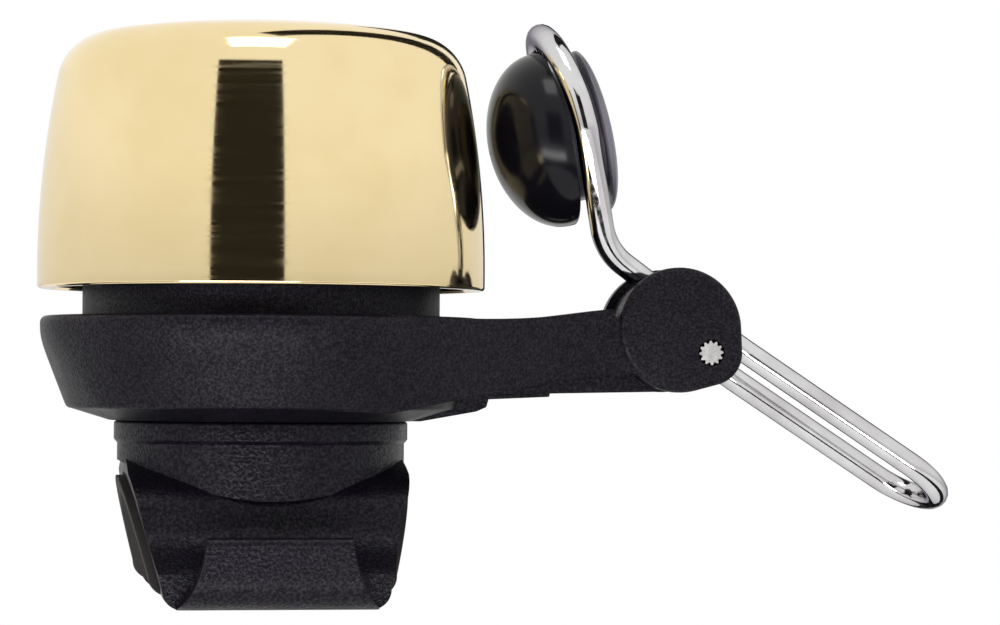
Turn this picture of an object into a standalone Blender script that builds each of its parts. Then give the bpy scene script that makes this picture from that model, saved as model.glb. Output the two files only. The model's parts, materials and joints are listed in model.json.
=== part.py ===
"""Compact thumb bell for a bicycle handlebar.

Frame: the origin is the centre of the handlebar, which runs along X. +Z goes up through the swivel and
the bell, +X points along the arm to the thumb lever. The hammer turns about a pin parallel to Y.
"""

import math

import bmesh
import bpy
from mathutils import Vector

MM = 0.001

# ---- Clearances -----------------------------------------------------------------------------------
SEAT = 0.3 * MM  # between pieces that bear on each other
FIT = 0.1 * MM  # radial, round a screw or a pin

# ---- Handlebar, pad and saddle --------------------------------------------------------------------
BAR_RADIUS = 12.7 * MM
PAD_THICKNESS = 1.5 * MM
PAD_PROUD = 0.75 * MM  # how far the pad shows beyond the legs
PAD_SHORT = 1.0 * MM  # how far the pad stops above the hooks' lower edge
CROWN_HEIGHT = 4.3 * MM  # saddle plastic above the bar channel
PLATE_CROWN = 1.45 * MM  # of that, the arched plate
PLATE_ARCH = 27.0 * MM
PUCK_RADIUS = 13.15 * MM
PUCK_LIP = 1.4 * MM
PUCK_DEPTH = 8.0 * MM  # puck's top to its hidden lower end, inside the plate
SKIRT_INSET = 0.3 * MM
LEG_TOP_WIDTH = 24.6 * MM
LEG_FOOT_WIDTH = 19.6 * MM
HOOK_FOOT = 3.2 * MM  # height of the hooks' lower edge above the bar centre
HOOK_DEPTH = 5.6 * MM  # from the channel wall out to the tab's face
HOOK_WALL = 1.7 * MM
HOOK_FLOOR = 3.0 * MM  # from the hooks' lower edge up to the groove's floor
HOOK_ROUND = 2.6 * MM
TAB_HEIGHT = 6.2 * MM
TAB_WIDTH = 12.2 * MM
FOOT_ROUND = 1.7 * MM

# ---- Swivel ---------------------------------------------------------------------------------------
SWIVEL_WEB = 1.5 * MM  # plastic between the puck's top and the screw's pocket
SCREW_RADIUS = 2.0 * MM
SCREW_HEAD_RADIUS = 3.8 * MM
SCREW_HEAD_HEIGHT = 1.6 * MM
WAVE_THICKNESS = 0.4 * MM
THRUST_THICKNESS = 0.6 * MM
THRUST_RADIUS = 8.0 * MM
SWIVEL_THREAD = 7.0 * MM  # how far the screw goes up into the post

# ---- Base -----------------------------------------------------------------------------------------
BASE_RADIUS = 19.75 * MM
BASE_HEIGHT = 9.25 * MM
BASE_WAIST_RADIUS = 17.4 * MM
BASE_FOOT_RADIUS = 13.6 * MM
BASE_FOOT_HEIGHT = 1.25 * MM
BASE_FLOOR = 2.6 * MM
BASE_EDGE = 0.6 * MM
BASE_WELL_RADIUS = 14.4 * MM
BOSS_RADIUS = 5.0 * MM
DRUM_RECESS = 0.6 * MM

# ---- Drum and post --------------------------------------------------------------------------------
DRUM_RADIUS = 16.0 * MM
DRUM_HEIGHT = 7.0 * MM
DRUM_WALL = 2.0 * MM
POST_SHANK_RADIUS = 3.0 * MM
POST_HEX_RADIUS = 4.6 * MM
POST_HEX_HEIGHT = 2.0 * MM
POST_RADIUS = 3.7 * MM
DRUM_WASHER_RADIUS = 7.0 * MM
DRUM_WASHER_THICKNESS = 0.8 * MM

# ---- Dome -----------------------------------------------------------------------------------------
DOME_RADIUS = 20.04 * MM
DOME_HEIGHT = 24.0 * MM
DOME_WALL = 1.4 * MM
DOME_LIFT = 2.45 * MM  # gap between the base and the dome's rim
DOME_SIDE_ARC = 88.0 * MM
DOME_CORNER = 4.7 * MM
DOME_CROWN_ARC = 98.0 * MM
DOME_BELT = 1.5 * MM  # height above the rim where the side is widest
RIM_EDGE = 0.3 * MM  # chamfer under the rim's outer edge
DIMPLE_RADIUS = 4.9 * MM
DIMPLE_SLOPE = 1.6 * MM
DIMPLE_DEPTH = 2.2 * MM
BUSH_FLANGE_RADIUS = 4.2 * MM
BUSH_FLANGE = 1.0 * MM
BUSH_WALL = 0.8 * MM
DOME_WASHER_RADIUS = 4.3 * MM
DOME_WASHER_THICKNESS = 0.4 * MM
DOME_HEAD_RADIUS = 3.6 * MM
DOME_HEAD_HEIGHT = 1.1 * MM
DOME_THREAD = 6.0 * MM

# ---- Arm and knuckle ------------------------------------------------------------------------------
PIVOT_OUT = 20.16 * MM  # pivot beyond the dome's widest radius
PIVOT_DROP = 2.95 * MM  # pivot below the base's top face
KNUCKLE_RADIUS = 5.65 * MM
KNUCKLE_RISE = 2.05 * MM
PIN_WALL_RADIUS = 2.95 * MM  # cheek outline round the pivot
PIN_WALL_PROUD = 0.1 * MM  # how far that outline stands beyond the knuckle's circle, along X
CHEEK = 1.6 * MM
CHEEK_EDGE = 0.55 * MM
ARM_ROOT_X = 4.25 * MM
ARM_ROOT_HALF = 18.6 * MM
ARM_ROOT_TURN = math.radians(13)
ARM_PULL = 12.0 * MM  # how far the arm's sides follow the round base before they turn in
ARM_TIP_RISE = 0.95 * MM
ARM_RIB_HALF = 3.4 * MM
PIN_RADIUS = 0.8 * MM
SPLINE_RADIUS = 1.1 * MM
SPLINE_TEETH = 12
SPLINE_DEPTH = 0.22 * MM

# ---- Hammer ---------------------------------------------------------------------------------------
WIRE_RADIUS = 1.1 * MM
WIRE_CLEAR = 0.15 * MM
STRAND_OFFSET = 2.2 * MM  # each strand from the middle plane, in the hub
STRAND_LIFT = 2.3 * MM  # near strand above the pivot, square to the lever
FAR_STRAND_DROP = 2.15 * MM  # far strand below the near one, at the pivot
LEVER_ANGLE = math.radians(34.2)  # below the horizontal
LEVER_REACH = 25.7 * MM  # pivot to the middle of the end bend
LEVER_END_HALF = 4.6 * MM
LEVER_END_DROP = 1.5 * MM
END_BEND = LEVER_END_HALF * 0.88
FAR_STRAND_START = 1.8 * MM  # pivot to the far strand's cut end
STEM_ROOT = 8.0 * MM  # pivot to the stem's lower bend
STRAND_SPREAD = 3.2 * MM  # pivot to where the strands start to part
STRAND_BEND = 8.0 * MM
STEM_BEND = 6.0 * MM
HUB_INSET = 0.65 * MM  # hub outline inside the cheeks' outline
HUB_FACE = 3.3 * MM  # hub face from the middle plane
SPRING_WIRE_RADIUS = 0.22 * MM
SPRING_COIL_RADIUS = 1.5 * MM
SPRING_TURNS = 2.5
SPRING_HALF = 0.95 * MM  # half the width of the spring's pocket
SPRING_LEG = 3.2 * MM
SPRING_ARM_ANGLE = math.radians(196)  # leg that bears on the arm
SPRING_HUB_ANGLE = math.radians(111)  # leg that lies in the hub

# ---- Striker --------------------------------------------------------------------------------------
STRIKER_OUT = 8.21 * MM  # striker's middle beyond the dome's widest radius
STRIKER_RISE = 19.8 * MM  # above the pivot
STRIKER_TILT = math.radians(13.5)
STRIKER_RADIUS = 8.0 * MM
STRIKER_DEPTH = 6.15 * MM
STRIKER_BACK_RADIUS = 7.4 * MM
STRIKER_BACK_DEPTH = 1.2 * MM
GROOVE_HALF = 1.55 * MM
GROOVE_RADIUS = 6.0 * MM
PLUG_RADIUS = 3.0 * MM
PLUG_LENGTH = 3.6 * MM
EYE_TOP = 9.4 * MM
EYE_LEAN = 0.9 * MM
EYE_TAIL = math.radians(-35)
EYE_STEPS = 22
STEM_BEND_BACK = 9.5 * MM  # stem's upper bend from the pivot, towards the bell
STEM_BEND_RISE = 9.2 * MM  # above the pivot
STEM_BEND_OFFSET = 3.7 * MM

# ---- Heights worked out from the stack ------------------------------------------------------------
CHANNEL_RADIUS = BAR_RADIUS + PAD_THICKNESS + SEAT
PUCK_TOP = CHANNEL_RADIUS + CROWN_HEIGHT
BASE_BOTTOM = PUCK_TOP + SEAT
BASE_TOP = BASE_BOTTOM + BASE_HEIGHT
RECESS_FLOOR = BASE_TOP - DRUM_RECESS
DRUM_BOTTOM = RECESS_FLOOR + SEAT
DRUM_TOP = DRUM_BOTTOM + DRUM_HEIGHT
RIM = BASE_TOP + DOME_LIFT
APEX = RIM + DOME_HEIGHT
DIMPLE_TOP = APEX - DIMPLE_DEPTH
DIMPLE_UNDER = DIMPLE_TOP - DOME_WALL
PIVOT_X = DOME_RADIUS + PIVOT_OUT
PIVOT_Z = BASE_TOP - PIVOT_DROP
KNUCKLE_BACK = KNUCKLE_RADIUS - PIN_WALL_RADIUS + PIN_WALL_PROUD
KNUCKLE_X = PIVOT_X - KNUCKLE_BACK
KNUCKLE_Z = PIVOT_Z + KNUCKLE_RISE
SLOT_RADIUS = KNUCKLE_RADIUS + 0.1 * MM
CHEEK_INSIDE = HUB_FACE + SEAT
CHEEK_OUTSIDE = CHEEK_INSIDE + CHEEK

ROUND = 40  # sides of a large turned piece
STRIKER_ROUND = 28
SMALL_ROUND = 20  # sides of a small one

LEVER_AXIS = Vector((math.cos(LEVER_ANGLE), 0, -math.sin(LEVER_ANGLE)))
LEVER_UP = Vector((math.sin(LEVER_ANGLE), 0, math.cos(LEVER_ANGLE)))
PIVOT = Vector((PIVOT_X, 0, PIVOT_Z))
STRIKER_CENTRE = Vector((DOME_RADIUS + STRIKER_OUT, 0, PIVOT_Z + STRIKER_RISE))
STRIKER_AXIS = Vector((-math.cos(STRIKER_TILT), 0, -math.sin(STRIKER_TILT)))
STRIKER_UP = Vector((-math.sin(STRIKER_TILT), 0, math.cos(STRIKER_TILT)))


# ---- Shared helpers -------------------------------------------------------------------------------
def material(name, colour, roughness, metallic):
    made = bpy.data.materials.new(name)
    made.use_nodes = True
    shader = made.node_tree.nodes["Principled BSDF"]
    shader.inputs["Base Color"].default_value = (*colour, 1)
    shader.inputs["Roughness"].default_value = roughness
    shader.inputs["Metallic"].default_value = metallic
    return made


def brass(name):
    return material(name, (0.83, 0.62, 0.24), 0.12, 1.0)


def steel(name):
    return material(name, (0.75, 0.75, 0.76), 0.25, 1.0)


def black_plastic(name):
    return material(name, (0.02, 0.02, 0.024), 0.5, 0.0)


def add_object(name, bm, finish=None):
    """The bmesh as an object of this name, faces out and round parts smooth."""
    bmesh.ops.remove_doubles(bm, verts=bm.verts, dist=1e-7)
    bmesh.ops.recalc_face_normals(bm, faces=bm.faces)
    mesh = bpy.data.meshes.new(name)
    bm.to_mesh(mesh)
    bm.free()
    mesh.shade_smooth()
    mesh.set_sharp_from_angle(angle=math.radians(30))
    made = bpy.data.objects.new(name, mesh)
    bpy.context.scene.collection.objects.link(made)
    if finish:
        mesh.materials.append(finish)
    return made


def turned(name, outline, finish=None, sides=ROUND):
    """A closed outline of (radius, height) points spun round Z."""
    bm = bmesh.new()
    verts = [bm.verts.new((radius, 0, height)) for radius, height in outline]
    pairs = zip(verts, verts[1:] + verts[:1])
    edges = [bm.edges.new(pair) for pair in pairs if pair[0].co.x > 0 or pair[1].co.x > 0]
    bmesh.ops.spin(
        bm, geom=verts + edges, cent=(0, 0, 0), axis=(0, 0, 1), dvec=(0, 0, 0),
        angle=math.tau, steps=sides, use_merge=True,
    )
    return add_object(name, bm, finish)


def extruded(name, outline, low, high, place, finish=None):
    """A flat outline given thickness from low to high; place turns (a, b, depth) into a point."""
    bm = bmesh.new()
    face = bm.faces.new([bm.verts.new(place(a, b, low)) for a, b in outline])
    grown = bmesh.ops.extrude_face_region(bm, geom=[face])["geom"]
    moved = [item for item in grown if isinstance(item, bmesh.types.BMVert)]
    bmesh.ops.translate(bm, verts=moved, vec=Vector(place(0, 0, high)) - Vector(place(0, 0, low)))
    return add_object(name, bm, finish)


def lofted(name, rings):
    """A solid through rings of as many points each, closed at its first and last ring."""
    bm = bmesh.new()
    loops = [[bm.verts.new(point) for point in ring] for ring in rings]
    for low, high in zip(loops, loops[1:]):
        for i in range(len(low)):
            j = (i + 1) % len(low)
            bm.faces.new((low[i], low[j], high[j], high[i]))
    bm.faces.new(loops[0])
    bm.faces.new(loops[-1])
    return add_object(name, bm)


def along_y(x, z, y):
    return (x, y, z)


def along_x(y, z, x):
    return (x, y, z)


def along_z(x, y, z):
    return (x, y, z)


def combine(target, tool, operation):
    """Joins, cuts or trims the target with a hidden tool."""
    step = target.modifiers.new(tool.name, "BOOLEAN")
    step.operation = operation
    step.object = tool
    step.solver = "EXACT"
    tool.hide_render = True
    tool.display_type = "WIRE"


def washer_outline(inner, outer, low, high):
    return [(inner, high), (outer, high), (outer, low), (inner, low)]


def arc(centre, radius, start, end, steps):
    """Points on an arc, angles in radians, anticlockwise from the first axis."""
    angles = [start + (end - start) * i / steps for i in range(steps + 1)]
    return [(centre[0] + radius * math.cos(a), centre[1] + radius * math.sin(a)) for a in angles]


def curve_between(first, first_pull, second_pull, second, steps):
    """A cubic curve between two points, pulled towards two others."""
    points = []
    for i in range(steps + 1):
        t = i / steps
        weights = ((1 - t) ** 3, 3 * t * (1 - t) ** 2, 3 * t * t * (1 - t), t**3)
        knots = (first, first_pull, second_pull, second)
        points.append(tuple(sum(w * k[axis] for w, k in zip(weights, knots)) for axis in (0, 1)))
    return points


def mirrored(points):
    """The points of one side, followed by their mirror images in reverse order."""
    return points + [(-a, b) for a, b in reversed(points)]


def rod(name, points, radius, finish, sides=2):
    """A round wire with flat ends along the points."""
    curve = bpy.data.curves.new(name, "CURVE")
    curve.dimensions = "3D"
    curve.bevel_depth = radius
    curve.bevel_resolution = sides
    curve.use_fill_caps = True
    spline = curve.splines.new("POLY")
    spline.points.add(len(points) - 1)
    for knot, point in zip(spline.points, points):
        knot.co = (*point, 1)
    curve.materials.append(finish)
    made = bpy.data.objects.new(name, curve)
    bpy.context.scene.collection.objects.link(made)
    return made


def set_origin(thing, point):
    """Moves the object's origin to a point and leaves its shape where it is."""
    shift = Vector(point)
    if thing.type == "MESH":
        for vertex in thing.data.vertices:
            vertex.co -= shift
    else:
        for knot in thing.data.splines[0].points:
            knot.co = (*(knot.co.xyz - shift), 1)
    thing.location = shift


# ---- Saddle, pad and swivel -----------------------------------------------------------------------
def leg_half_width(height):
    """Half the width of a leg, seen from the front, at a height above the bar centre."""
    share = (height - HOOK_FOOT) / (PUCK_TOP - CROWN_HEIGHT - HOOK_FOOT)
    return (LEG_FOOT_WIDTH + (LEG_TOP_WIDTH - LEG_FOOT_WIDTH) * share) / 2


def front_outline(extra, foot, top):
    """Front view of the legs: wide at the top, narrow and round-cornered at the foot."""
    foot_half = leg_half_width(foot) + extra
    corner = arc((foot_half - FOOT_ROUND, foot + FOOT_ROUND), FOOT_ROUND, -math.pi / 2, 0, 4)
    shoulder = PUCK_TOP - CROWN_HEIGHT
    return mirrored(corner + [(leg_half_width(shoulder) + extra, shoulder),
                              (leg_half_width(shoulder) + extra, top)])


def channel_point(height, radius):
    return math.sqrt(radius**2 - height**2)


def saddle_section():
    """End view of the saddle: arched plate, two legs, and a hook turned up outside each leg."""
    tab_out = channel_point(HOOK_FOOT, CHANNEL_RADIUS) + HOOK_DEPTH
    tab_in = tab_out - HOOK_WALL
    tab_top = HOOK_FOOT + TAB_HEIGHT
    gutter = HOOK_FOOT + HOOK_FLOOR
    plate_top = CHANNEL_RADIUS + PLATE_CROWN
    root = PUCK_RADIUS - SKIRT_INSET - 0.35 * MM  # the leg starts inside the puck, under its lower edge
    root_angle = math.asin(root / PLATE_ARCH)
    points = arc((0, plate_top - PLATE_ARCH), PLATE_ARCH, math.pi / 2, math.pi / 2 - root_angle, 8)
    root_z = points[-1][1]
    points += curve_between(
        (root, root_z - 0.8 * MM), (root, root_z - 4.2 * MM),
        (tab_in - 3.0 * MM, gutter + 1.4 * MM), (tab_in - 1.2 * MM, gutter), 6,
    )
    points += [(tab_in - 0.4 * MM, gutter + 0.3 * MM), (tab_in, gutter + 1.1 * MM)]
    points += [(tab_in, tab_top - 0.4 * MM), (tab_in + 0.4 * MM, tab_top)]
    points += [(tab_out - 0.6 * MM, tab_top), (tab_out, tab_top - 0.6 * MM)]
    points += arc((tab_out - HOOK_ROUND, HOOK_FOOT + HOOK_ROUND), HOOK_ROUND, 0, -math.pi / 2, 5)
    inner_angle = math.asin(HOOK_FOOT / CHANNEL_RADIUS)
    inside = arc((0, 0), CHANNEL_RADIUS, inner_angle, math.pi - inner_angle, 20)
    return points + inside + [(-y, z) for y, z in reversed(points[1:])]


def tab_waste():
    """Front view of what is cut away beside one tab."""
    foot = HOOK_FOOT
    half = TAB_WIDTH / 2
    edge = curve_between(
        (half, foot + TAB_HEIGHT + 1.0 * MM), (half + 0.2 * MM, foot + 4.0 * MM),
        (half + 0.7 * MM, foot + 1.6 * MM), (half + 2.9 * MM, foot - 0.2 * MM), 6,
    )
    return edge + [(PUCK_RADIUS, foot - 0.2 * MM), (PUCK_RADIUS, foot + TAB_HEIGHT + 1.0 * MM)]


def make_saddle():
    """Root piece: the puck that carries the swivel and the legs that straddle the bar."""
    finish = black_plastic("saddle_plastic")
    half = LEG_TOP_WIDTH / 2 + 1.0 * MM
    saddle = extruded("bar_saddle", saddle_section(), -half, half, along_x, finish)
    outline = front_outline(0, HOOK_FOOT - 0.01 * MM, PUCK_TOP)
    reach = CHANNEL_RADIUS + HOOK_DEPTH
    combine(saddle, extruded("cut_leg_outline", outline, -reach, reach, along_y), "INTERSECT")

    tab_in = channel_point(HOOK_FOOT, CHANNEL_RADIUS) + HOOK_DEPTH - HOOK_WALL
    for side in (-1, 1):
        for end in (-1, 1):
            waste = [(end * x, z) for x, z in tab_waste()]
            name = f"cut_tab_{side}_{end}"
            inner, outer = side * (tab_in - 1.2 * MM), side * (tab_in + 6 * MM)
            combine(saddle, extruded(name, waste, inner, outer, along_y), "DIFFERENCE")

    skirt = PUCK_RADIUS - SKIRT_INSET
    puck = turned("cut_puck", [
        (0, PUCK_TOP), (PUCK_RADIUS - 0.2 * MM, PUCK_TOP), (PUCK_RADIUS, PUCK_TOP - 0.2 * MM),
        (PUCK_RADIUS, PUCK_TOP - PUCK_LIP), (skirt, PUCK_TOP - PUCK_LIP - SKIRT_INSET),
        (skirt, PUCK_TOP - PUCK_DEPTH), (0, PUCK_TOP - PUCK_DEPTH),
    ])
    under = extruded("cut_under_plate", plate_outline(), -PUCK_RADIUS, PUCK_RADIUS, along_x)
    combine(puck, under, "INTERSECT")
    combine(saddle, puck, "UNION")

    pocket = SCREW_HEAD_RADIUS + 0.8 * MM
    web = PUCK_TOP - SWIVEL_WEB
    bore = SCREW_RADIUS + FIT
    thrust = THRUST_RADIUS + SEAT
    above, below = PUCK_TOP + 1 * MM, CHANNEL_RADIUS - 3 * MM
    combine(saddle, turned("cut_swivel", [
        (0, above), (thrust, above), (thrust, PUCK_TOP - SEAT), (bore, PUCK_TOP - SEAT),
        (bore, web), (pocket, web), (pocket, below), (0, below),
    ], sides=SMALL_ROUND), "DIFFERENCE")


def plate_outline():
    """End view of the space above the plate's middle line, which trims the puck's lower edge."""
    arch = PLATE_ARCH - 0.4 * MM
    top = CHANNEL_RADIUS + PLATE_CROWN - PLATE_ARCH
    span = math.asin(PUCK_RADIUS * 1.1 / arch)
    low = arc((0, top), arch, math.pi / 2 - span, math.pi / 2 + span, 16)
    lift = PUCK_TOP + 1 * MM
    return low + [(low[-1][0], lift), (low[0][0], lift)]


def make_pad():
    """Rubber liner between the saddle and the bar."""
    outer = BAR_RADIUS + PAD_THICKNESS
    foot = HOOK_FOOT + PAD_SHORT
    section = arc((0, 0), outer, math.asin(foot / outer), math.pi - math.asin(foot / outer), 20)
    section += arc((0, 0), BAR_RADIUS, math.pi - math.asin(foot / BAR_RADIUS),
                   math.asin(foot / BAR_RADIUS), 20)
    half = LEG_TOP_WIDTH / 2 + 2 * PAD_PROUD
    finish = material("pad_rubber", (0.03, 0.026, 0.024), 0.85, 0.0)
    pad = extruded("saddle_pad", section, -half, half, along_x, finish)
    outline = front_outline(PAD_PROUD, foot - 0.01 * MM, CHANNEL_RADIUS)
    combine(pad, extruded("cut_pad_outline", outline, -outer, outer, along_y), "INTERSECT")


def make_swivel():
    """The screw from below, its wave washer, and the thrust washer between saddle and base."""
    web = PUCK_TOP - SWIVEL_WEB
    wave_top = web - SEAT
    head_top = wave_top - WAVE_THICKNESS - SEAT
    turned("wave_washer", washer_outline(
        SCREW_RADIUS + FIT, SCREW_HEAD_RADIUS + 0.4 * MM, wave_top - WAVE_THICKNESS, wave_top,
    ), steel("wave_steel"), SMALL_ROUND)
    screw = turned("swivel_screw", [
        (0, BASE_BOTTOM + SWIVEL_THREAD), (SCREW_RADIUS - 0.3 * MM, BASE_BOTTOM + SWIVEL_THREAD),
        (SCREW_RADIUS, BASE_BOTTOM + SWIVEL_THREAD - 0.3 * MM), (SCREW_RADIUS, head_top),
        (SCREW_HEAD_RADIUS, head_top), (SCREW_HEAD_RADIUS, head_top - SCREW_HEAD_HEIGHT / 2),
        (SCREW_HEAD_RADIUS * 0.8, head_top - SCREW_HEAD_HEIGHT), (0, head_top - SCREW_HEAD_HEIGHT),
    ], steel("swivel_steel"), SMALL_ROUND)
    cut_cross(screw, "cut_swivel_cross", head_top - SCREW_HEAD_HEIGHT, 1)
    low = PUCK_TOP
    turned("thrust_washer", washer_outline(
        SCREW_RADIUS + SEAT, THRUST_RADIUS, low, low + THRUST_THICKNESS,
    ), material("thrust_nylon", (0.8, 0.78, 0.7), 0.5, 0.0), SMALL_ROUND)


def cut_cross(screw, name, face, way):
    """A cross recess in a screw's head; way is +1 for a head that opens downwards."""
    depth, length, width = 0.9 * MM, 2.2 * MM, 0.55 * MM
    low, high = sorted((face - way * 0.5 * MM, face + way * depth))
    for index, (a, b) in enumerate(((length, width), (width, length))):
        outline = [(-a, -b), (a, -b), (a, b), (-a, b)]
        combine(screw, extruded(f"{name}_{index}", outline, low, high, along_z), "DIFFERENCE")


# ---- Base, arm and knuckle ------------------------------------------------------------------------
def polar(angle, distance):
    """A point in side view, from the pivot."""
    return (PIVOT_X + distance * math.cos(angle), PIVOT_Z + distance * math.sin(angle))


def circle_round_pivot(radius):
    return [polar(math.tau * i / SMALL_ROUND, radius) for i in range(SMALL_ROUND)]


def hull_of_circles(first, first_radius, second, second_radius, steps=28):
    """Outline of two circles joined by their outer tangents."""
    gap = (second[0] - first[0], second[1] - first[1])
    length = math.hypot(*gap)
    heading = math.atan2(gap[1], gap[0])
    spread = math.acos((first_radius - second_radius) / length)
    points = arc(first, first_radius, heading + spread, heading + math.tau - spread, steps)
    return points + arc(second, second_radius, heading - spread, heading + spread, steps // 4)


def knuckle_outline(inset):
    return hull_of_circles(
        (KNUCKLE_X, KNUCKLE_Z), KNUCKLE_RADIUS - inset, (PIVOT_X, PIVOT_Z), PIN_WALL_RADIUS - inset,
    )


def cheek(name, side):
    """One cheek of the knuckle, bevelled round its outer face and overlong inside, where the slot is cut."""
    inner, outer = side * (CHEEK_INSIDE - 1 * MM), side * CHEEK_OUTSIDE
    shoulder = outer - side * CHEEK_EDGE
    rings = ((0, inner), (0, shoulder), (CHEEK_EDGE, outer))
    return lofted(name, [[along_y(x, z, y) for x, z in knuckle_outline(inset)] for inset, y in rings])


def arm_plan(root_half):
    """Plan of the arm: full width where it leaves the round base, narrow at the knuckle."""
    start = (ARM_ROOT_X, root_half)
    first_pull = (start[0] + ARM_PULL * math.cos(ARM_ROOT_TURN),
                  start[1] - ARM_PULL * math.sin(ARM_ROOT_TURN))
    tip_half = CHEEK_OUTSIDE - CHEEK_EDGE / 2
    end = (KNUCKLE_X - KNUCKLE_RADIUS + 0.2 * MM, tip_half)
    second_pull = (end[0] - 0.8 * ARM_PULL, end[1] + 1.6 * MM)
    side = [(0, root_half / 2)] + curve_between(start, first_pull, second_pull, end, 9)
    side += [(KNUCKLE_X - 2 * MM, tip_half)]
    return side + [(x, -y) for x, y in reversed(side)]


def arm_side():
    """Side view of the arm's walls."""
    tip = KNUCKLE_X - KNUCKLE_RADIUS
    top = BASE_TOP
    under = PIVOT_Z - 2.0 * MM
    return [
        (0, BASE_BOTTOM + BASE_FOOT_HEIGHT), (10 * MM, BASE_BOTTOM + 0.8 * MM),
        (tip - 5.7 * MM, under - 0.4 * MM), (tip - 2.7 * MM, under), (KNUCKLE_X - 1 * MM, under + 0.1 * MM),
        (KNUCKLE_X - 1 * MM, top - 0.3 * MM), (tip - 0.2 * MM, top), (tip - 0.6 * MM, top + ARM_TIP_RISE),
        (tip - 4.5 * MM, top + 0.25 * MM), (tip - 11 * MM, top - 0.2 * MM), (12 * MM, top), (0, top),
    ]


def rib_side():
    """Side view of the deeper rib under the middle of the arm."""
    tip = KNUCKLE_X - KNUCKLE_RADIUS
    step = tip - 12.7 * MM
    low = BASE_BOTTOM
    return [
        (0, low), (14 * MM, low), (step, low + 0.9 * MM), (step + 0.9 * MM, low + 1.3 * MM),
        (step + 1.1 * MM, low + 2.0 * MM), (tip - 6.1 * MM, low + 2.25 * MM),
        (tip - 6.0 * MM, low + 2.55 * MM), (tip + 3.6 * MM, low + 2.75 * MM), (tip + 3.6 * MM, PIVOT_Z),
        (0, PIVOT_Z),
    ]


def base_outline():
    shoulder = BASE_RADIUS - BASE_EDGE
    return [
        (0, BASE_TOP), (shoulder, BASE_TOP), (BASE_RADIUS - 0.18 * MM, BASE_TOP - 0.2 * MM),
        (BASE_RADIUS, BASE_TOP - BASE_EDGE), (BASE_RADIUS - 0.05 * MM, BASE_TOP - 1.5 * MM),
        (BASE_RADIUS - 0.35 * MM, BASE_TOP - 2.5 * MM),
        (BASE_WAIST_RADIUS, BASE_BOTTOM + BASE_FOOT_HEIGHT),
        (BASE_WAIST_RADIUS - 0.8 * MM, BASE_BOTTOM + BASE_FOOT_HEIGHT - 0.3 * MM),
        (BASE_FOOT_RADIUS, BASE_BOTTOM), (0, BASE_BOTTOM),
    ]


def base_well():
    """What is hollowed out of the base: drum recess, well, post bore and thrust washer recess."""
    bore = POST_SHANK_RADIUS + SEAT
    floor = BASE_BOTTOM + BASE_FLOOR
    above = BASE_TOP + 2 * MM
    recess = DRUM_RADIUS + SEAT
    thrust = THRUST_RADIUS + SEAT
    thrust_top = BASE_BOTTOM + THRUST_THICKNESS
    below = BASE_BOTTOM - 1 * MM
    return [
        (0, above), (recess, above), (recess, RECESS_FLOOR), (BASE_WELL_RADIUS, RECESS_FLOOR),
        (BASE_WELL_RADIUS, floor), (BOSS_RADIUS, floor), (BOSS_RADIUS, RECESS_FLOOR),
        (bore, RECESS_FLOOR), (bore, thrust_top), (thrust, thrust_top), (thrust, below), (0, below),
    ]


def make_base():
    """Base and arm in one moulding, with the two cheeks that hold the hammer's pin."""
    base = turned("base_arm", base_outline(), black_plastic("base_plastic"))
    draft = BASE_RADIUS - BASE_WAIST_RADIUS
    plan = lofted("cut_arm", [
        [along_z(x, y, z) for x, y in arm_plan(half)]
        for z, half in ((BASE_BOTTOM, ARM_ROOT_HALF - draft), (BASE_TOP - 2 * MM, ARM_ROOT_HALF),
                        (BASE_TOP + 2 * MM, ARM_ROOT_HALF))
    ])
    sides = extruded("cut_arm_sides", arm_side(), -ARM_ROOT_HALF, ARM_ROOT_HALF, along_y)
    combine(plan, sides, "INTERSECT")
    combine(base, plan, "UNION")
    rib = extruded("cut_arm_rib", rib_side(), -ARM_RIB_HALF, ARM_RIB_HALF, along_y)
    combine(base, rib, "UNION")
    combine(base, cheek("cut_near_cheek", -1), "UNION")
    combine(base, cheek("cut_far_cheek", 1), "UNION")
    combine(base, turned("cut_base_well", base_well()), "DIFFERENCE")

    slot = hull_of_circles(
        (KNUCKLE_X, KNUCKLE_Z), SLOT_RADIUS, (KNUCKLE_X + 12 * MM, KNUCKLE_Z - 1 * MM),
        SLOT_RADIUS - 0.1 * MM, 32,
    )
    combine(base, extruded("cut_slot", slot, -CHEEK_INSIDE, CHEEK_INSIDE, along_y), "DIFFERENCE")
    through = CHEEK_OUTSIDE + 1 * MM
    near_hole = circle_round_pivot(SPLINE_RADIUS + FIT)
    combine(base, extruded("cut_near_hole", near_hole, -through, 0, along_y), "DIFFERENCE")
    far_hole = circle_round_pivot(PIN_RADIUS + FIT)
    combine(base, extruded("cut_far_hole", far_hole, 0, through, along_y), "DIFFERENCE")


# ---- Drum, post and dome --------------------------------------------------------------------------
def make_drum():
    bore = POST_SHANK_RADIUS + SEAT
    under = DRUM_TOP - DRUM_WALL
    inner = DRUM_RADIUS - DRUM_WALL
    turned("mount_drum", [
        (bore, DRUM_TOP), (DRUM_RADIUS - 0.4 * MM, DRUM_TOP), (DRUM_RADIUS, DRUM_TOP - 0.4 * MM),
        (DRUM_RADIUS, DRUM_BOTTOM), (inner, DRUM_BOTTOM), (inner, under), (BOSS_RADIUS, under),
        (BOSS_RADIUS, DRUM_BOTTOM), (bore, DRUM_BOTTOM),
    ], black_plastic("drum_plastic"))


def post_heights():
    """Lower face of the hexagon, and the top of the post under the dome's bush."""
    hex_low = DRUM_TOP + SEAT + DRUM_WASHER_THICKNESS + SEAT
    post_top = DIMPLE_UNDER - SEAT - BUSH_FLANGE - SEAT
    return hex_low, post_top


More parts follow.
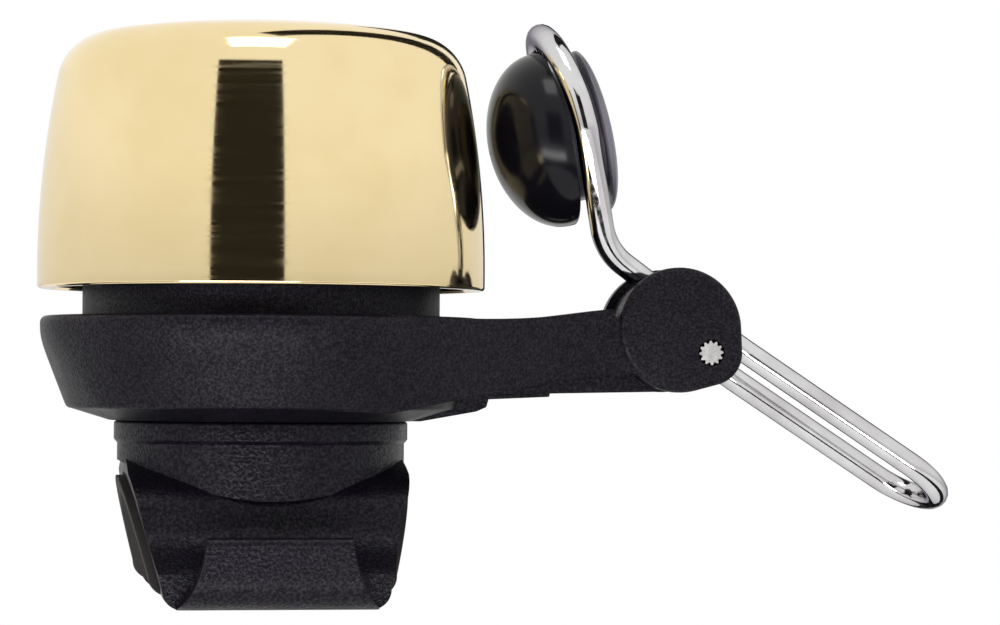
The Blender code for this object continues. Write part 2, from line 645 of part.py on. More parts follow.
def make_post():
    """Threaded post that clamps the drum to the base and carries the dome."""
    hex_low, post_top = post_heights()
    turned("drum_washer", washer_outline(
        POST_SHANK_RADIUS + SEAT, DRUM_WASHER_RADIUS, DRUM_TOP + SEAT,
        DRUM_TOP + SEAT + DRUM_WASHER_THICKNESS,
    ), steel("drum_washer_steel"), SMALL_ROUND)
    shank_low = BASE_BOTTOM + THRUST_THICKNESS + SEAT
    post = turned("mounting_post", [
        (0, post_top), (POST_RADIUS, post_top), (POST_RADIUS, hex_low + POST_HEX_HEIGHT / 2),
        (POST_SHANK_RADIUS, hex_low + POST_HEX_HEIGHT / 2), (POST_SHANK_RADIUS, shank_low),
        (0, shank_low),
    ], steel("post_steel"), SMALL_ROUND)
    corners = arc((0, 0), POST_HEX_RADIUS, 0, math.tau * 5 / 6, 5)
    hexagon = extruded("cut_hexagon", corners, hex_low, hex_low + POST_HEX_HEIGHT, along_z)
    combine(post, hexagon, "UNION")
    bore = SCREW_RADIUS + FIT
    for name, low, high in (
        ("cut_lower_thread", shank_low - 1 * MM, BASE_BOTTOM + SWIVEL_THREAD + 1 * MM),
        ("cut_upper_thread", post_top - DOME_THREAD - 1 * MM, post_top + 1 * MM),
    ):
        tool = turned(name, [(0, high), (bore, high), (bore, low), (0, low)], sides=SMALL_ROUND)
        combine(post, tool, "DIFFERENCE")


def circles_meet(first, first_radius, second, second_radius):
    """The meeting point, with the larger radius and height, of two circles in section."""
    gap = (second[0] - first[0], second[1] - first[1])
    length = math.hypot(*gap)
    along = (first_radius**2 - second_radius**2 + length**2) / (2 * length)
    across = math.sqrt(first_radius**2 - along**2)
    base = (first[0] + along * gap[0] / length, first[1] + along * gap[1] / length)
    found = [(base[0] + s * across * gap[1] / length, base[1] - s * across * gap[0] / length)
             for s in (-1, 1)]
    return max(found)


def dome_skin(offset, dimple_radius, dimple_height):
    """One face of the dome's wall from the dimple to the rim, offset inwards from the outside."""
    side_centre = (DOME_RADIUS - DOME_SIDE_ARC, RIM + DOME_BELT)
    crown_centre = (0, APEX - DOME_CROWN_ARC)
    corner = circles_meet(side_centre, DOME_SIDE_ARC - DOME_CORNER,
                          crown_centre, DOME_CROWN_ARC - DOME_CORNER)
    crown_end = math.atan2(corner[1] - crown_centre[1], corner[0] - crown_centre[0])
    side_end = math.atan2(corner[1] - side_centre[1], corner[0] - side_centre[0])
    crown = DOME_CROWN_ARC - offset
    lip = dimple_radius + DIMPLE_SLOPE
    lip_angle = math.acos(lip / crown)
    lip_height = crown_centre[1] + crown * math.sin(lip_angle)
    dip = [(0, dimple_height), (dimple_radius, dimple_height)]
    step = lip_height - dimple_height
    dip += [(dimple_radius + DIMPLE_SLOPE * t, dimple_height + step * t * t * (3 - 2 * t))
            for t in (0.35, 0.7)]
    top = arc(crown_centre, crown, lip_angle, crown_end, 3)
    round_corner = arc(corner, DOME_CORNER - offset, crown_end, side_end, 5)[1:-1]
    rim_angle = -math.asin((DOME_BELT - RIM_EDGE) / DOME_SIDE_ARC)
    side = arc(side_centre, DOME_SIDE_ARC - offset, side_end, rim_angle, 4)
    return dip + top + round_corner + side


def make_dome():
    """Turned brass dome with a pressed dimple that hides its screw."""
    hole = SCREW_RADIUS + FIT + BUSH_WALL + SEAT
    outside = dome_skin(0, DIMPLE_RADIUS, DIMPLE_TOP)[1:]
    inside = dome_skin(DOME_WALL, DIMPLE_RADIUS + 0.5 * MM, DIMPLE_UNDER)[1:]
    rim = [(outside[-1][0] - RIM_EDGE, RIM), (inside[-1][0], RIM)]
    outline = [(hole, DIMPLE_TOP)] + outside + rim + inside[::-1] + [(hole, DIMPLE_UNDER)]
    turned("bell_dome", outline, brass("dome_brass"))

    bore = SCREW_RADIUS + FIT
    flange_top = DIMPLE_UNDER - SEAT
    neck_top = DIMPLE_TOP - SEAT / 2
    turned("dome_bush", [
        (bore, neck_top), (bore + BUSH_WALL, neck_top), (bore + BUSH_WALL, flange_top),
        (BUSH_FLANGE_RADIUS, flange_top), (BUSH_FLANGE_RADIUS, flange_top - BUSH_FLANGE),
        (bore, flange_top - BUSH_FLANGE),
    ], material("bush_nylon", (0.85, 0.83, 0.78), 0.5, 0.0), SMALL_ROUND)

    washer_low = DIMPLE_TOP + SEAT
    washer_top = washer_low + DOME_WASHER_THICKNESS
    turned("dome_washer", washer_outline(bore, DOME_WASHER_RADIUS, washer_low, washer_top),
           steel("dome_washer_steel"), SMALL_ROUND)

    head_low = washer_top + SEAT
    head_top = head_low + DOME_HEAD_HEIGHT
    tip = post_heights()[1] - DOME_THREAD
    screw = turned("dome_screw", [
        (0, head_top), (DOME_HEAD_RADIUS * 0.75, head_top), (DOME_HEAD_RADIUS, head_low + 0.5 * MM),
        (DOME_HEAD_RADIUS, head_low), (SCREW_RADIUS, head_low), (SCREW_RADIUS, tip + 0.3 * MM),
        (SCREW_RADIUS - 0.3 * MM, tip), (0, tip),
    ], steel("dome_screw_steel"), SMALL_ROUND)
    cut_cross(screw, "cut_dome_cross", head_top, -1)


# ---- Hammer ---------------------------------------------------------------------------------------
def rounded_route(corners, steps=5):
    """Points along straight runs joined by arcs; corners are (point, bend radius)."""
    points = [corners[0][0]]
    for (before, _), (corner, radius), (after, _) in zip(corners, corners[1:], corners[2:]):
        arrive = (corner - before).normalized()
        leave = (after - corner).normalized()
        turn = arrive.angle(leave)
        if turn < 1e-4:
            continue
        run = radius * math.tan(turn / 2)
        start = corner - arrive * run
        inward = (leave - arrive * leave.dot(arrive)).normalized()
        centre = start + inward * radius
        count = max(2, round(steps * turn / (math.pi / 4)))
        for i in range(count + 1):
            a = turn * i / count
            points.append(centre - inward * radius * math.cos(a) + arrive * radius * math.sin(a))
    return points + [corners[-1][0]]


def eye_points():
    """The loop that clips round the striker's groove, from its tail to the near side."""
    across = GROOVE_RADIUS + SEAT + WIRE_RADIUS
    points = []
    for i in range(EYE_STEPS + 1):
        angle = EYE_TAIL + (math.pi - EYE_TAIL) * i / EYE_STEPS
        rise = EYE_TOP if angle > 0 else across
        lean = EYE_LEAN * max(0.0, math.sin(angle)) ** 2
        points.append(
            STRIKER_CENTRE + Vector((0, across * math.cos(angle), 0))
            + STRIKER_UP * (rise * math.sin(angle)) + STRIKER_AXIS * lean
        )
    return points


def lever_point(reach, lift, side):
    return PIVOT + LEVER_AXIS * reach + LEVER_UP * lift + Vector((0, side, 0))


def wire_route():
    """The whole wire: eye, stem, near strand through the hub, end bend and far strand."""
    eye = eye_points()
    far_drop = STRAND_LIFT - FAR_STRAND_DROP
    bend = Vector((PIVOT_X - STEM_BEND_BACK, -STEM_BEND_OFFSET, PIVOT_Z + STEM_BEND_RISE))
    near_in = lever_point(-STEM_ROOT, STRAND_LIFT, -STRAND_OFFSET)
    near_out = lever_point(STRAND_SPREAD, STRAND_LIFT, -STRAND_OFFSET)
    end_near = lever_point(LEVER_REACH, STRAND_LIFT, -LEVER_END_HALF)
    end_far = lever_point(LEVER_REACH, STRAND_LIFT - LEVER_END_DROP, LEVER_END_HALF)
    far_out = lever_point(STRAND_SPREAD + 1.5 * MM, far_drop, STRAND_OFFSET)
    far_end = lever_point(FAR_STRAND_START, far_drop, STRAND_OFFSET)
    corners = [(eye[-1], 0), (bend, STEM_BEND), (near_in, STEM_BEND), (near_out, STRAND_BEND),
               (end_near, END_BEND), (end_far, END_BEND),
               (far_out, STRAND_BEND), (far_end, 0)]
    return eye[:-1] + rounded_route(corners)


def strand_slot(low, high, lift):
    """Side view of a groove for one strand, from low to high along the lever."""
    half = WIRE_RADIUS + WIRE_CLEAR
    corners = ((low, -half), (high, -half), (high, half), (low, half))
    points = [lever_point(reach, lift + rise, 0) for reach, rise in corners]
    return [(point.x, point.z) for point in points]


def make_hub_half(name, side):
    """One half of the hammer's hub, which grips a strand and houses half of the spring."""
    outline = knuckle_outline(HUB_INSET)
    low, high = sorted((side * SEAT / 2, side * HUB_FACE))
    half = extruded(name, outline, low, high, along_y, black_plastic(f"{name}_plastic"))
    bottom = STRAND_OFFSET - WIRE_RADIUS - SEAT
    slot_low, slot_high = sorted((side * bottom, side * (HUB_FACE + 1 * MM)))
    if side < 0:
        slot = strand_slot(-3 * KNUCKLE_RADIUS, 2 * KNUCKLE_RADIUS, STRAND_LIFT)
    else:
        slot = strand_slot(FAR_STRAND_START - SEAT, 2 * KNUCKLE_RADIUS, STRAND_LIFT - FAR_STRAND_DROP)
    combine(half, extruded(f"cut_{name}_slot", slot, slot_low, slot_high, along_y), "DIFFERENCE")

    bore = circle_round_pivot(PIN_RADIUS + FIT)
    combine(half, extruded(f"cut_{name}_bore", bore, -HUB_FACE * 2, HUB_FACE * 2, along_y), "DIFFERENCE")
    coil = SPRING_COIL_RADIUS + SPRING_WIRE_RADIUS + 2 * FIT
    pocket = circle_round_pivot(coil)
    combine(half, extruded(f"cut_{name}_pocket", pocket, -SPRING_HALF, SPRING_HALF, along_y), "DIFFERENCE")
    beyond = 2 * KNUCKLE_RADIUS
    sweep = [SPRING_ARM_ANGLE + math.radians(step) for step in (-8, 20, 48)]
    wedge = [(PIVOT_X, PIVOT_Z)] + [polar(angle, beyond) for angle in sweep]
    combine(half, extruded(f"cut_{name}_wedge", wedge, -SPRING_HALF, SPRING_HALF, along_y), "DIFFERENCE")
    depth = SPRING_LEG + 2 * SPRING_WIRE_RADIUS
    notch = [polar(SPRING_HUB_ANGLE + math.radians(turn), reach)
             for turn, reach in ((13, PIN_RADIUS), (7, depth), (-7, depth), (-19, PIN_RADIUS))]
    combine(half, extruded(f"cut_{name}_notch", notch, -SPRING_HALF, SPRING_HALF, along_y), "DIFFERENCE")
    set_origin(half, PIVOT)


def slot_wall_distance(angle):
    """How far the slot's end wall is from the pivot, in a direction."""
    along = -KNUCKLE_BACK * math.cos(angle) + KNUCKLE_RISE * math.sin(angle)
    across = math.hypot(KNUCKLE_BACK, KNUCKLE_RISE) ** 2 - along**2
    return along + math.sqrt(SLOT_RADIUS**2 - across)


def make_spring():
    """Torsion spring: one leg bears on the arm, the other lies in the hub."""
    first, last = SPRING_ARM_ANGLE, SPRING_HUB_ANGLE
    leg = slot_wall_distance(first) - SEAT - SPRING_WIRE_RADIUS
    sweep = math.tau * SPRING_TURNS + (last - first) % math.tau - math.pi
    span = SPRING_HALF - SPRING_WIRE_RADIUS - FIT
    steps = 36
    points = [Vector((*polar(first, leg), -span)).xzy]
    points.append(Vector((*polar(first, SPRING_LEG), -span)).xzy)
    for i in range(steps + 1):
        share = i / steps
        x, z = polar(first + sweep * share, SPRING_COIL_RADIUS)
        points.append(Vector((x, -span + 2 * span * share, z)))
    x, z = polar(last, SPRING_LEG)
    points.append(Vector((x, span, z)))
    rod("return_spring", points, SPRING_WIRE_RADIUS, steel("spring_steel"), 1)


def make_pin():
    """Pivot pin: plain shank, splined head pressed into the near cheek."""
    finish = steel("pin_steel")
    shank = circle_round_pivot(PIN_RADIUS)
    spline_low = -CHEEK_OUTSIDE + 0.05 * MM
    pin = extruded("pivot_pin", shank, spline_low + 0.5 * MM, CHEEK_OUTSIDE - 0.2 * MM, along_y, finish)
    corners = SPLINE_TEETH * 4
    teeth = []
    for i in range(corners):
        radius = SPLINE_RADIUS - (SPLINE_DEPTH if i % 4 >= 2 else 0)
        teeth.append(polar(math.tau * i / corners, radius))
    head = extruded("cut_splines", teeth, spline_low, -CHEEK_INSIDE - 0.1 * MM, along_y)
    combine(pin, head, "UNION")


def turned_on_striker_axis(name, outline, finish):
    """A turned piece on the striker's axis; outline heights run towards the dome."""
    made = turned(name, outline, finish, STRIKER_ROUND)
    tilt = STRIKER_AXIS.to_track_quat("Z", "Y")
    for vertex in made.data.vertices:
        vertex.co = tilt @ vertex.co + STRIKER_CENTRE
    set_origin(made, PIVOT)
    return made


def make_striker():
    """The two-part knob: a deep cap that hits the dome, and a back plate plugged into it."""
    finish = material("striker_gloss", (0.01, 0.01, 0.012), 0.08, 0.0)
    face = GROOVE_HALF
    lip = 0.5 * MM
    nose = arc((0, 0), 1.0, math.pi / 2, 0, 8)
    dome = [(STRIKER_RADIUS * r, face + lip + (STRIKER_DEPTH - lip) * h) for r, h in nose[1:]]
    socket = PLUG_RADIUS + SEAT
    turned_on_striker_axis("striker_cap", [(0, face + STRIKER_DEPTH)] + dome + [
        (STRIKER_RADIUS, face + 0.15 * MM), (STRIKER_RADIUS - 0.15 * MM, face), (socket, face),
        (socket, face + PLUG_LENGTH), (0, face + PLUG_LENGTH),
    ], finish)
    back = -GROOVE_HALF
    deep = back - STRIKER_BACK_DEPTH
    turned_on_striker_axis("striker_back", [
        (0, face + PLUG_LENGTH - SEAT), (PLUG_RADIUS, face + PLUG_LENGTH - SEAT),
        (PLUG_RADIUS, face - SEAT), (GROOVE_RADIUS, face - SEAT), (GROOVE_RADIUS, back),
        (STRIKER_BACK_RADIUS, back), (STRIKER_BACK_RADIUS, back - 0.4 * MM),
        (STRIKER_BACK_RADIUS * 0.9, deep + 0.3 * MM), (STRIKER_BACK_RADIUS * 0.6, deep), (0, deep),
    ], material("striker_back_gloss", (0.012, 0.012, 0.014), 0.1, 0.0))


def make_hammer():
    make_hub_half("hammer_hub_near", -1)
    make_hub_half("hammer_hub_far", 1)
    wire = rod("hammer_wire", wire_route(), WIRE_RADIUS,
               material("wire_chrome", (0.82, 0.83, 0.85), 0.06, 1.0), 2)
    set_origin(wire, PIVOT)
    make_striker()
    make_spring()
    make_pin()


def main():
    for old in list(bpy.data.objects):
        bpy.data.objects.remove(old, do_unlink=True)
    make_saddle()
    make_pad()
    make_swivel()
    make_base()
    make_drum()
    make_post()
    make_dome()
    make_hammer()


main()
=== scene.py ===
"""Looks for a compact bicycle bell: polished brass dome, grained black mouldings, chromed wire hammer."""

import json
import math

import bmesh
import bpy
from mathutils import Matrix, Vector


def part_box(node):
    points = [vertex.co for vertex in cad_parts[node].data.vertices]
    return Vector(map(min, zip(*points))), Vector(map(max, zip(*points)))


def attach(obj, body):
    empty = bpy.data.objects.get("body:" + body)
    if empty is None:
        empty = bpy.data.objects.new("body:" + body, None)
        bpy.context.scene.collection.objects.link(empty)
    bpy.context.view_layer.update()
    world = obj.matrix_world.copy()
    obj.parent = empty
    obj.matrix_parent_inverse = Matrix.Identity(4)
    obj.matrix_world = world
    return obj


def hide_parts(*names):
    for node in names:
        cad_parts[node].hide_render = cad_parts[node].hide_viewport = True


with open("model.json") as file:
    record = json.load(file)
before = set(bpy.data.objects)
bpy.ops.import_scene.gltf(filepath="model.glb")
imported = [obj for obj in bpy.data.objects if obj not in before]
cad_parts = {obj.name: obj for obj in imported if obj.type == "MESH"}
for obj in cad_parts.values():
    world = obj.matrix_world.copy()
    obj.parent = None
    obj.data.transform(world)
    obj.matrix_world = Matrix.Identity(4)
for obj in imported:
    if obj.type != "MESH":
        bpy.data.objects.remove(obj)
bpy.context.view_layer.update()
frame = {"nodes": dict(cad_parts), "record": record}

MM = 0.001


# ---- Camera, floor and light ----------------------------------------------------------------------
LENS_TURN = -9  # degrees from the front, to the left
LENS_HEIGHT = 23.1 * MM
LENS_DISTANCE = 309.5 * MM
LENS_ASIDE = 21.45 * MM  # to the right of the swivel


def make_camera():
    """A long lens at the height of the base, a few degrees to the left of the front."""
    turn = math.radians(LENS_TURN)
    roll = 0.006
    right = Vector((math.cos(turn), math.sin(turn), 0))
    ahead = Vector((-math.sin(turn), math.cos(turn), 0))
    up = Vector((0, 0, 1))
    across = right * math.cos(roll) + up * math.sin(roll)
    over = up * math.cos(roll) - right * math.sin(roll)
    data = bpy.data.cameras.new("studio_camera")
    data.lens = 124.0
    data.sensor_width = 36.0
    data.shift_y = 0.0647
    data.clip_start = 0.01
    camera = bpy.data.objects.new("studio_camera", data)
    place = Matrix((across, over, -ahead)).transposed().to_4x4()
    place.translation = up * LENS_HEIGHT + right * LENS_ASIDE - ahead * LENS_DISTANCE
    camera.matrix_world = place
    bpy.context.scene.collection.objects.link(camera)
    bpy.context.scene.camera = camera


def stage_piece(name, bm, colour, roughness, shine):
    """A matt object of the stage, which isn't part of the bell."""
    mesh = bpy.data.meshes.new(name)
    bm.to_mesh(mesh)
    bm.free()
    piece = bpy.data.objects.new(name, mesh)
    bpy.context.scene.collection.objects.link(piece)
    finish = bpy.data.materials.new(name)
    finish.use_nodes = True
    shader = finish.node_tree.nodes["Principled BSDF"]
    shader.inputs["Base Color"].default_value = (*colour, 1)
    shader.inputs["Roughness"].default_value = roughness
    shader.inputs["Specular IOR Level"].default_value = shine
    mesh.materials.append(finish)
    return piece


def make_floor(height, size):
    """A plain pale floor."""
    bm = bmesh.new()
    bmesh.ops.create_grid(bm, x_segments=1, y_segments=1, size=size / 2)
    bmesh.ops.translate(bm, verts=bm.verts, vec=(0, 0, height))
    stage_piece("floor", bm, (0.86, 0.86, 0.86), 0.9, 0.1)


def soft_box(name, place, target, width, height, power, mirrored=True):
    """A rectangular studio light turned to its target; mirrored says whether gloss shows its shape."""
    data = bpy.data.lights.new(name, "AREA")
    data.shape = "RECTANGLE"
    data.size = width
    data.size_y = height
    data.energy = power
    light = bpy.data.objects.new(name, data)
    light.location = place
    light.rotation_euler = (Vector(target) - Vector(place)).to_track_quat("-Z", "Y").to_euler()
    light.visible_glossy = mirrored
    bpy.context.scene.collection.objects.link(light)


def stage_point(turn, out, height):
    """A point on the stage; turn is in degrees to the right of the lens."""
    angle = math.radians(turn + LENS_TURN - 90)
    return (out * math.cos(angle), out * math.sin(angle), height)


def round_card(name, start, end, foot, head):
    """A black card bent round the bell from start to end; its foot and head are (distance out, height)."""
    bm = bmesh.new()
    foot, head = (bm.verts.new(stage_point(start, *edge)) for edge in (foot, head))
    edge = bm.edges.new((foot, head))
    bmesh.ops.spin(bm, geom=[foot, head, edge], cent=(0, 0, 0), axis=(0, 0, 1), dvec=(0, 0, 0),
                   angle=math.radians(end - start), steps=24, use_merge=False)
    black_card(name, bm)


def long_card(name, corners):
    """A flat black card with the given corners, each (turn, distance out, height)."""
    bm = bmesh.new()
    bm.faces.new([bm.verts.new(stage_point(*corner)) for corner in corners])
    black_card(name, bm)


def black_card(name, bm):
    """A black card that only glossy pieces show."""
    card = stage_piece(name, bm, (0.016, 0.015, 0.013), 1.0, 0.0)
    card.visible_camera = False
    card.visible_diffuse = False
    card.visible_shadow = False
    card.visible_transmission = False


def make_tent():
    """A white tent, greyer below, that the lens itself sees as plain white."""
    world = bpy.data.worlds.new("white_tent")
    world.use_nodes = True
    nodes = world.node_tree.nodes
    links = world.node_tree.links
    seen = nodes.new("ShaderNodeBackground")
    seen.inputs["Color"].default_value = (1, 1, 1, 1)
    seen.inputs["Strength"].default_value = 1.0
    mix = nodes.new("ShaderNodeMixShader")
    path = nodes.new("ShaderNodeLightPath")
    tent = nodes["Background"]
    where = nodes.new("ShaderNodeTexCoord")
    split = nodes.new("ShaderNodeSeparateXYZ")
    ramp = nodes.new("ShaderNodeValToRGB")
    low, high = ramp.color_ramp.elements
    low.position, low.color = 0.0, (0.36, 0.36, 0.38, 1)
    high.position, high.color = 0.62, (1.0, 0.99, 0.965, 1)
    middle = ramp.color_ramp.elements.new(0.46)
    middle.color = (0.72, 0.71, 0.70, 1)
    rise = nodes.new("ShaderNodeMapRange")
    rise.inputs["From Min"].default_value = -1.0
    rise.inputs["From Max"].default_value = 1.0
    links.new(where.outputs["Generated"], split.inputs["Vector"])
    links.new(split.outputs["Z"], rise.inputs["Value"])
    links.new(rise.outputs["Result"], ramp.inputs["Fac"])
    links.new(ramp.outputs["Color"], tent.inputs["Color"])
    tent.inputs["Strength"].default_value = 1.0
    links.new(path.outputs["Is Camera Ray"], mix.inputs["Fac"])
    links.new(tent.outputs["Background"], mix.inputs[1])
    links.new(seen.outputs["Background"], mix.inputs[2])
    links.new(mix.outputs["Shader"], nodes["World Output"].inputs["Surface"])
    bpy.context.scene.world = world


FLOOR = -0.075  # height of the floor; sizes on the stage are in metres
WALL = 0.46  # distance of the upright cards
WALL_FOOT, WALL_HEAD = (WALL, -0.06), (WALL, 0.30)
ABOVE_FLOOR = FLOOR + 0.0005


def make_stage():
    """Floor, soft lights and the black cards that draw lines in the brass and the chrome."""
    make_floor(FLOOR, 1.2)
    round_card("front_gap_card", -21.5, 15.0, WALL_FOOT, WALL_HEAD)
    long_card("roof_gap_card", [
        (55.0, 0.05, 0.46), (140.0, 0.47, 0.16), (153.0, 0.47, 0.16), (205.0, 0.03, 0.46),
    ])
    round_card("floor_ring_card", -180.0, 180.0, (0.13, ABOVE_FLOOR), (0.20, ABOVE_FLOOR))
    round_card("back_right_card", 164.0, 177.0, WALL_FOOT, WALL_HEAD)
    soft_box("overhead", stage_point(0.0, 0.17, 0.5), (0, 0, 0.03), 0.2, 0.2, 0.5)
    soft_box("low_front", stage_point(-8.0, 0.19, -0.062), (-0.003, 0, 0.006), 0.22, 0.05, 0.32)
    soft_box("left_bank", (-0.42, -0.22, 0.12), (0, 0, 0.03), 0.3, 0.34, 0.25, mirrored=False)
    soft_box("right_bank", (0.42, -0.3, 0.14), (0.02, 0, 0.03), 0.3, 0.34, 0.25, mirrored=False)


make_camera()
make_tent()
make_stage()
bpy.context.scene.view_settings.view_transform = "Standard"


# ---- Finishes -------------------------------------------------------------------------------------
def new_finish(name, colour, roughness, metallic=0.0):
    """A Principled material, its node tools and its object-space pattern coordinates."""
    made = bpy.data.materials.new(name)
    made.use_nodes = True
    tree = made.node_tree
    shader = tree.nodes["Principled BSDF"]
    shader.inputs["Base Color"].default_value = (*colour, 1)
    shader.inputs["Roughness"].default_value = roughness
    shader.inputs["Metallic"].default_value = metallic
    where = tree.nodes.new("ShaderNodeTexCoord")
    return made, tree, shader, where.outputs["Object"]


def noise(tree, where, scale, detail=4.0, stretch=(1, 1, 1), roughness=0.55):
    """A noise pattern; scale is in spots per metre."""
    place = tree.nodes.new("ShaderNodeMapping")
    place.inputs["Scale"].default_value = stretch
    tree.links.new(where, place.inputs["Vector"])
    spots = tree.nodes.new("ShaderNodeTexNoise")
    spots.inputs["Scale"].default_value = scale
    spots.inputs["Detail"].default_value = detail
    spots.inputs["Roughness"].default_value = roughness
    tree.links.new(place.outputs["Vector"], spots.inputs["Vector"])
    return spots.outputs["Fac"]


def between(tree, pattern, low, high, start=0.35, end=0.65):
    """The pattern stretched so that start gives low and end gives high."""
    ranged = tree.nodes.new("ShaderNodeMapRange")
    ranged.inputs["From Min"].default_value = start
    ranged.inputs["From Max"].default_value = end
    ranged.inputs["To Min"].default_value = low
    ranged.inputs["To Max"].default_value = high
    tree.links.new(pattern, ranged.inputs["Value"])
    return ranged.outputs["Result"]


def two_colours(tree, pattern, dark, light, start=0.35, end=0.65):
    """The pattern as a blend from dark, at start, to light, at end."""
    ramp = tree.nodes.new("ShaderNodeValToRGB")
    ramp.color_ramp.elements[0].position = start
    ramp.color_ramp.elements[0].color = (*dark, 1)
    ramp.color_ramp.elements[1].position = end
    ramp.color_ramp.elements[1].color = (*light, 1)
    tree.links.new(pattern, ramp.inputs["Fac"])
    return ramp.outputs["Color"]


def relief(tree, shader, pattern, depth, strength=1.0, before=None):
    """A fine relief from the pattern, in metres, on top of the relief before it."""
    bump = tree.nodes.new("ShaderNodeBump")
    bump.inputs["Strength"].default_value = strength
    bump.inputs["Distance"].default_value = depth
    tree.links.new(pattern, bump.inputs["Height"])
    if before:
        tree.links.new(before, bump.inputs["Normal"])
    tree.links.new(bump.outputs["Normal"], shader.inputs["Normal"])
    return bump.outputs["Normal"]


def polished_brass():
    """Mirror brass with faint turning streaks that run round the dome."""
    made, tree, shader, where = new_finish("polished_brass", (0.93, 0.76, 0.42), 0.06, 1.0)
    streaks = noise(tree, where, 60.0, 5.0, (1, 1, 60), 0.7)
    cloud = noise(tree, where, 90.0, 3.0)
    tree.links.new(between(tree, streaks, 0.035, 0.12), shader.inputs["Roughness"])
    tree.links.new(two_colours(tree, cloud, (0.86, 0.70, 0.39), (0.91, 0.75, 0.45)),
                   shader.inputs["Base Color"])
    first = relief(tree, shader, streaks, 0.0000015, 0.35)
    relief(tree, shader, noise(tree, where, 400.0, 2.0), 0.000001, 0.2, first)
    return made


BLACK = (0.0032, 0.0027, 0.0048)


def grained_black(name, roughness=0.42, grain=4200.0, depth=0.00006, tint=BLACK):
    """Moulded black plastic with a fine spark-eroded grain and slightly worn sheen."""
    made, tree, shader, where = new_finish(name, tint, roughness)
    shader.inputs["Specular Tint"].default_value = (0.95, 0.91, 1.0, 1)
    fine = noise(tree, where, grain, 2.0, roughness=0.6)
    broad = noise(tree, where, 160.0, 4.0)
    lighter = tuple(value * 1.7 for value in tint)
    tree.links.new(two_colours(tree, fine, tint, lighter, 0.4, 0.7), shader.inputs["Base Color"])
    tree.links.new(between(tree, fine, 0.10, 0.36, 0.4, 0.75), shader.inputs["Specular IOR Level"])
    tree.links.new(between(tree, broad, roughness - 0.06, roughness + 0.08), shader.inputs["Roughness"])
    relief(tree, shader, fine, depth)
    return made


def gloss_black(name, colour, roughness, shine):
    """Glossy injection-moulded black with faint flow waviness."""
    made, tree, shader, where = new_finish(name, colour, roughness)
    shader.inputs["Specular IOR Level"].default_value = shine
    flow = noise(tree, where, 120.0, 2.0)
    tree.links.new(between(tree, flow, roughness, roughness * 2), shader.inputs["Roughness"])
    tree.links.new(two_colours(tree, flow, colour, tuple(value * 1.5 for value in colour)),
                   shader.inputs["Base Color"])
    relief(tree, shader, flow, 0.00002, 0.15)
    return made


def bright_chrome():
    """Chromed wire: uneven plating tone and small plating specks."""
    made, tree, shader, where = new_finish("bright_chrome", (0.62, 0.62, 0.64), 0.07, 1.0)
    shader.inputs["Specular Tint"].default_value = (0.30, 0.29, 0.33, 1)
    specks = noise(tree, where, 1500.0, 3.0)
    broad = noise(tree, where, 220.0, 3.0)
    tree.links.new(between(tree, specks, 0.05, 0.17, 0.4, 0.75), shader.inputs["Roughness"])
    tree.links.new(two_colours(tree, broad, (0.56, 0.55, 0.57), (0.70, 0.70, 0.72)),
                   shader.inputs["Base Color"])
    relief(tree, shader, specks, 0.000012, 0.35)
    return made


def liner_rubber():
    """Matt rubber, rougher and browner than the plastic, with a fine rough skin."""
    made, tree, shader, where = new_finish("liner_rubber", (0.012, 0.010, 0.010), 0.8)
    fine = noise(tree, where, 1800.0, 5.0, roughness=0.7)
    tree.links.new(two_colours(tree, fine, (0.007, 0.006, 0.006), (0.018, 0.014, 0.013)),
                   shader.inputs["Base Color"])
    tree.links.new(between(tree, fine, 0.68, 0.92), shader.inputs["Roughness"])
    relief(tree, shader, fine, 0.00008, 0.8)
    return made


def plated_steel(name, colour=(0.62, 0.62, 0.63), roughness=0.24):
    """Zinc-plated or drawn steel, with fine uneven plating."""
    made, tree, shader, where = new_finish(name, colour, roughness, 1.0)
    fine = noise(tree, where, 1400.0, 4.0)
    darker = tuple(value * 0.8 for value in colour)
    tree.links.new(two_colours(tree, fine, darker, colour), shader.inputs["Base Color"])
    tree.links.new(between(tree, fine, roughness - 0.08, roughness + 0.12), shader.inputs["Roughness"])
    relief(tree, shader, fine, 0.00001, 0.4)
    return made


def natural_nylon(name):
    """Uncoloured nylon, a little translucent, with a soft mottle."""
    made, tree, shader, where = new_finish(name, (0.74, 0.71, 0.62), 0.45)
    shader.inputs["Subsurface Weight"].default_value = 0.15
    shader.inputs["Subsurface Scale"].default_value = 0.001
    soft = noise(tree, where, 500.0, 3.0)
    tree.links.new(two_colours(tree, soft, (0.70, 0.66, 0.56), (0.80, 0.77, 0.69)),
                   shader.inputs["Base Color"])
    relief(tree, shader, soft, 0.00002, 0.3)
    return made


BASE_BLACK = grained_black("base_black")
SADDLE_BLACK = grained_black("saddle_black", 0.34, 3600.0, 0.00008)
DRUM_BLACK = grained_black("drum_black", 0.45, 4600.0, 0.00005)
# The hub's tint is several times lighter than the other blacks. That is painted light for the lit curve of
# the hub barrel. Its lower roughness is the hub's real gloss.
HUB_PAINTED_LIT_BLACK = grained_black("hub_painted_lit_black", 0.24, 4200.0, 0.00003, (0.020, 0.018, 0.026))
BRASS = polished_brass()
CAP_GLOSS = gloss_black("cap_gloss", (0.003, 0.0028, 0.0045), 0.12, 0.2)
BACK_GLOSS = gloss_black("back_gloss", (0.085, 0.080, 0.100), 0.25, 0.5)
CHROME = bright_chrome()
RUBBER = liner_rubber()

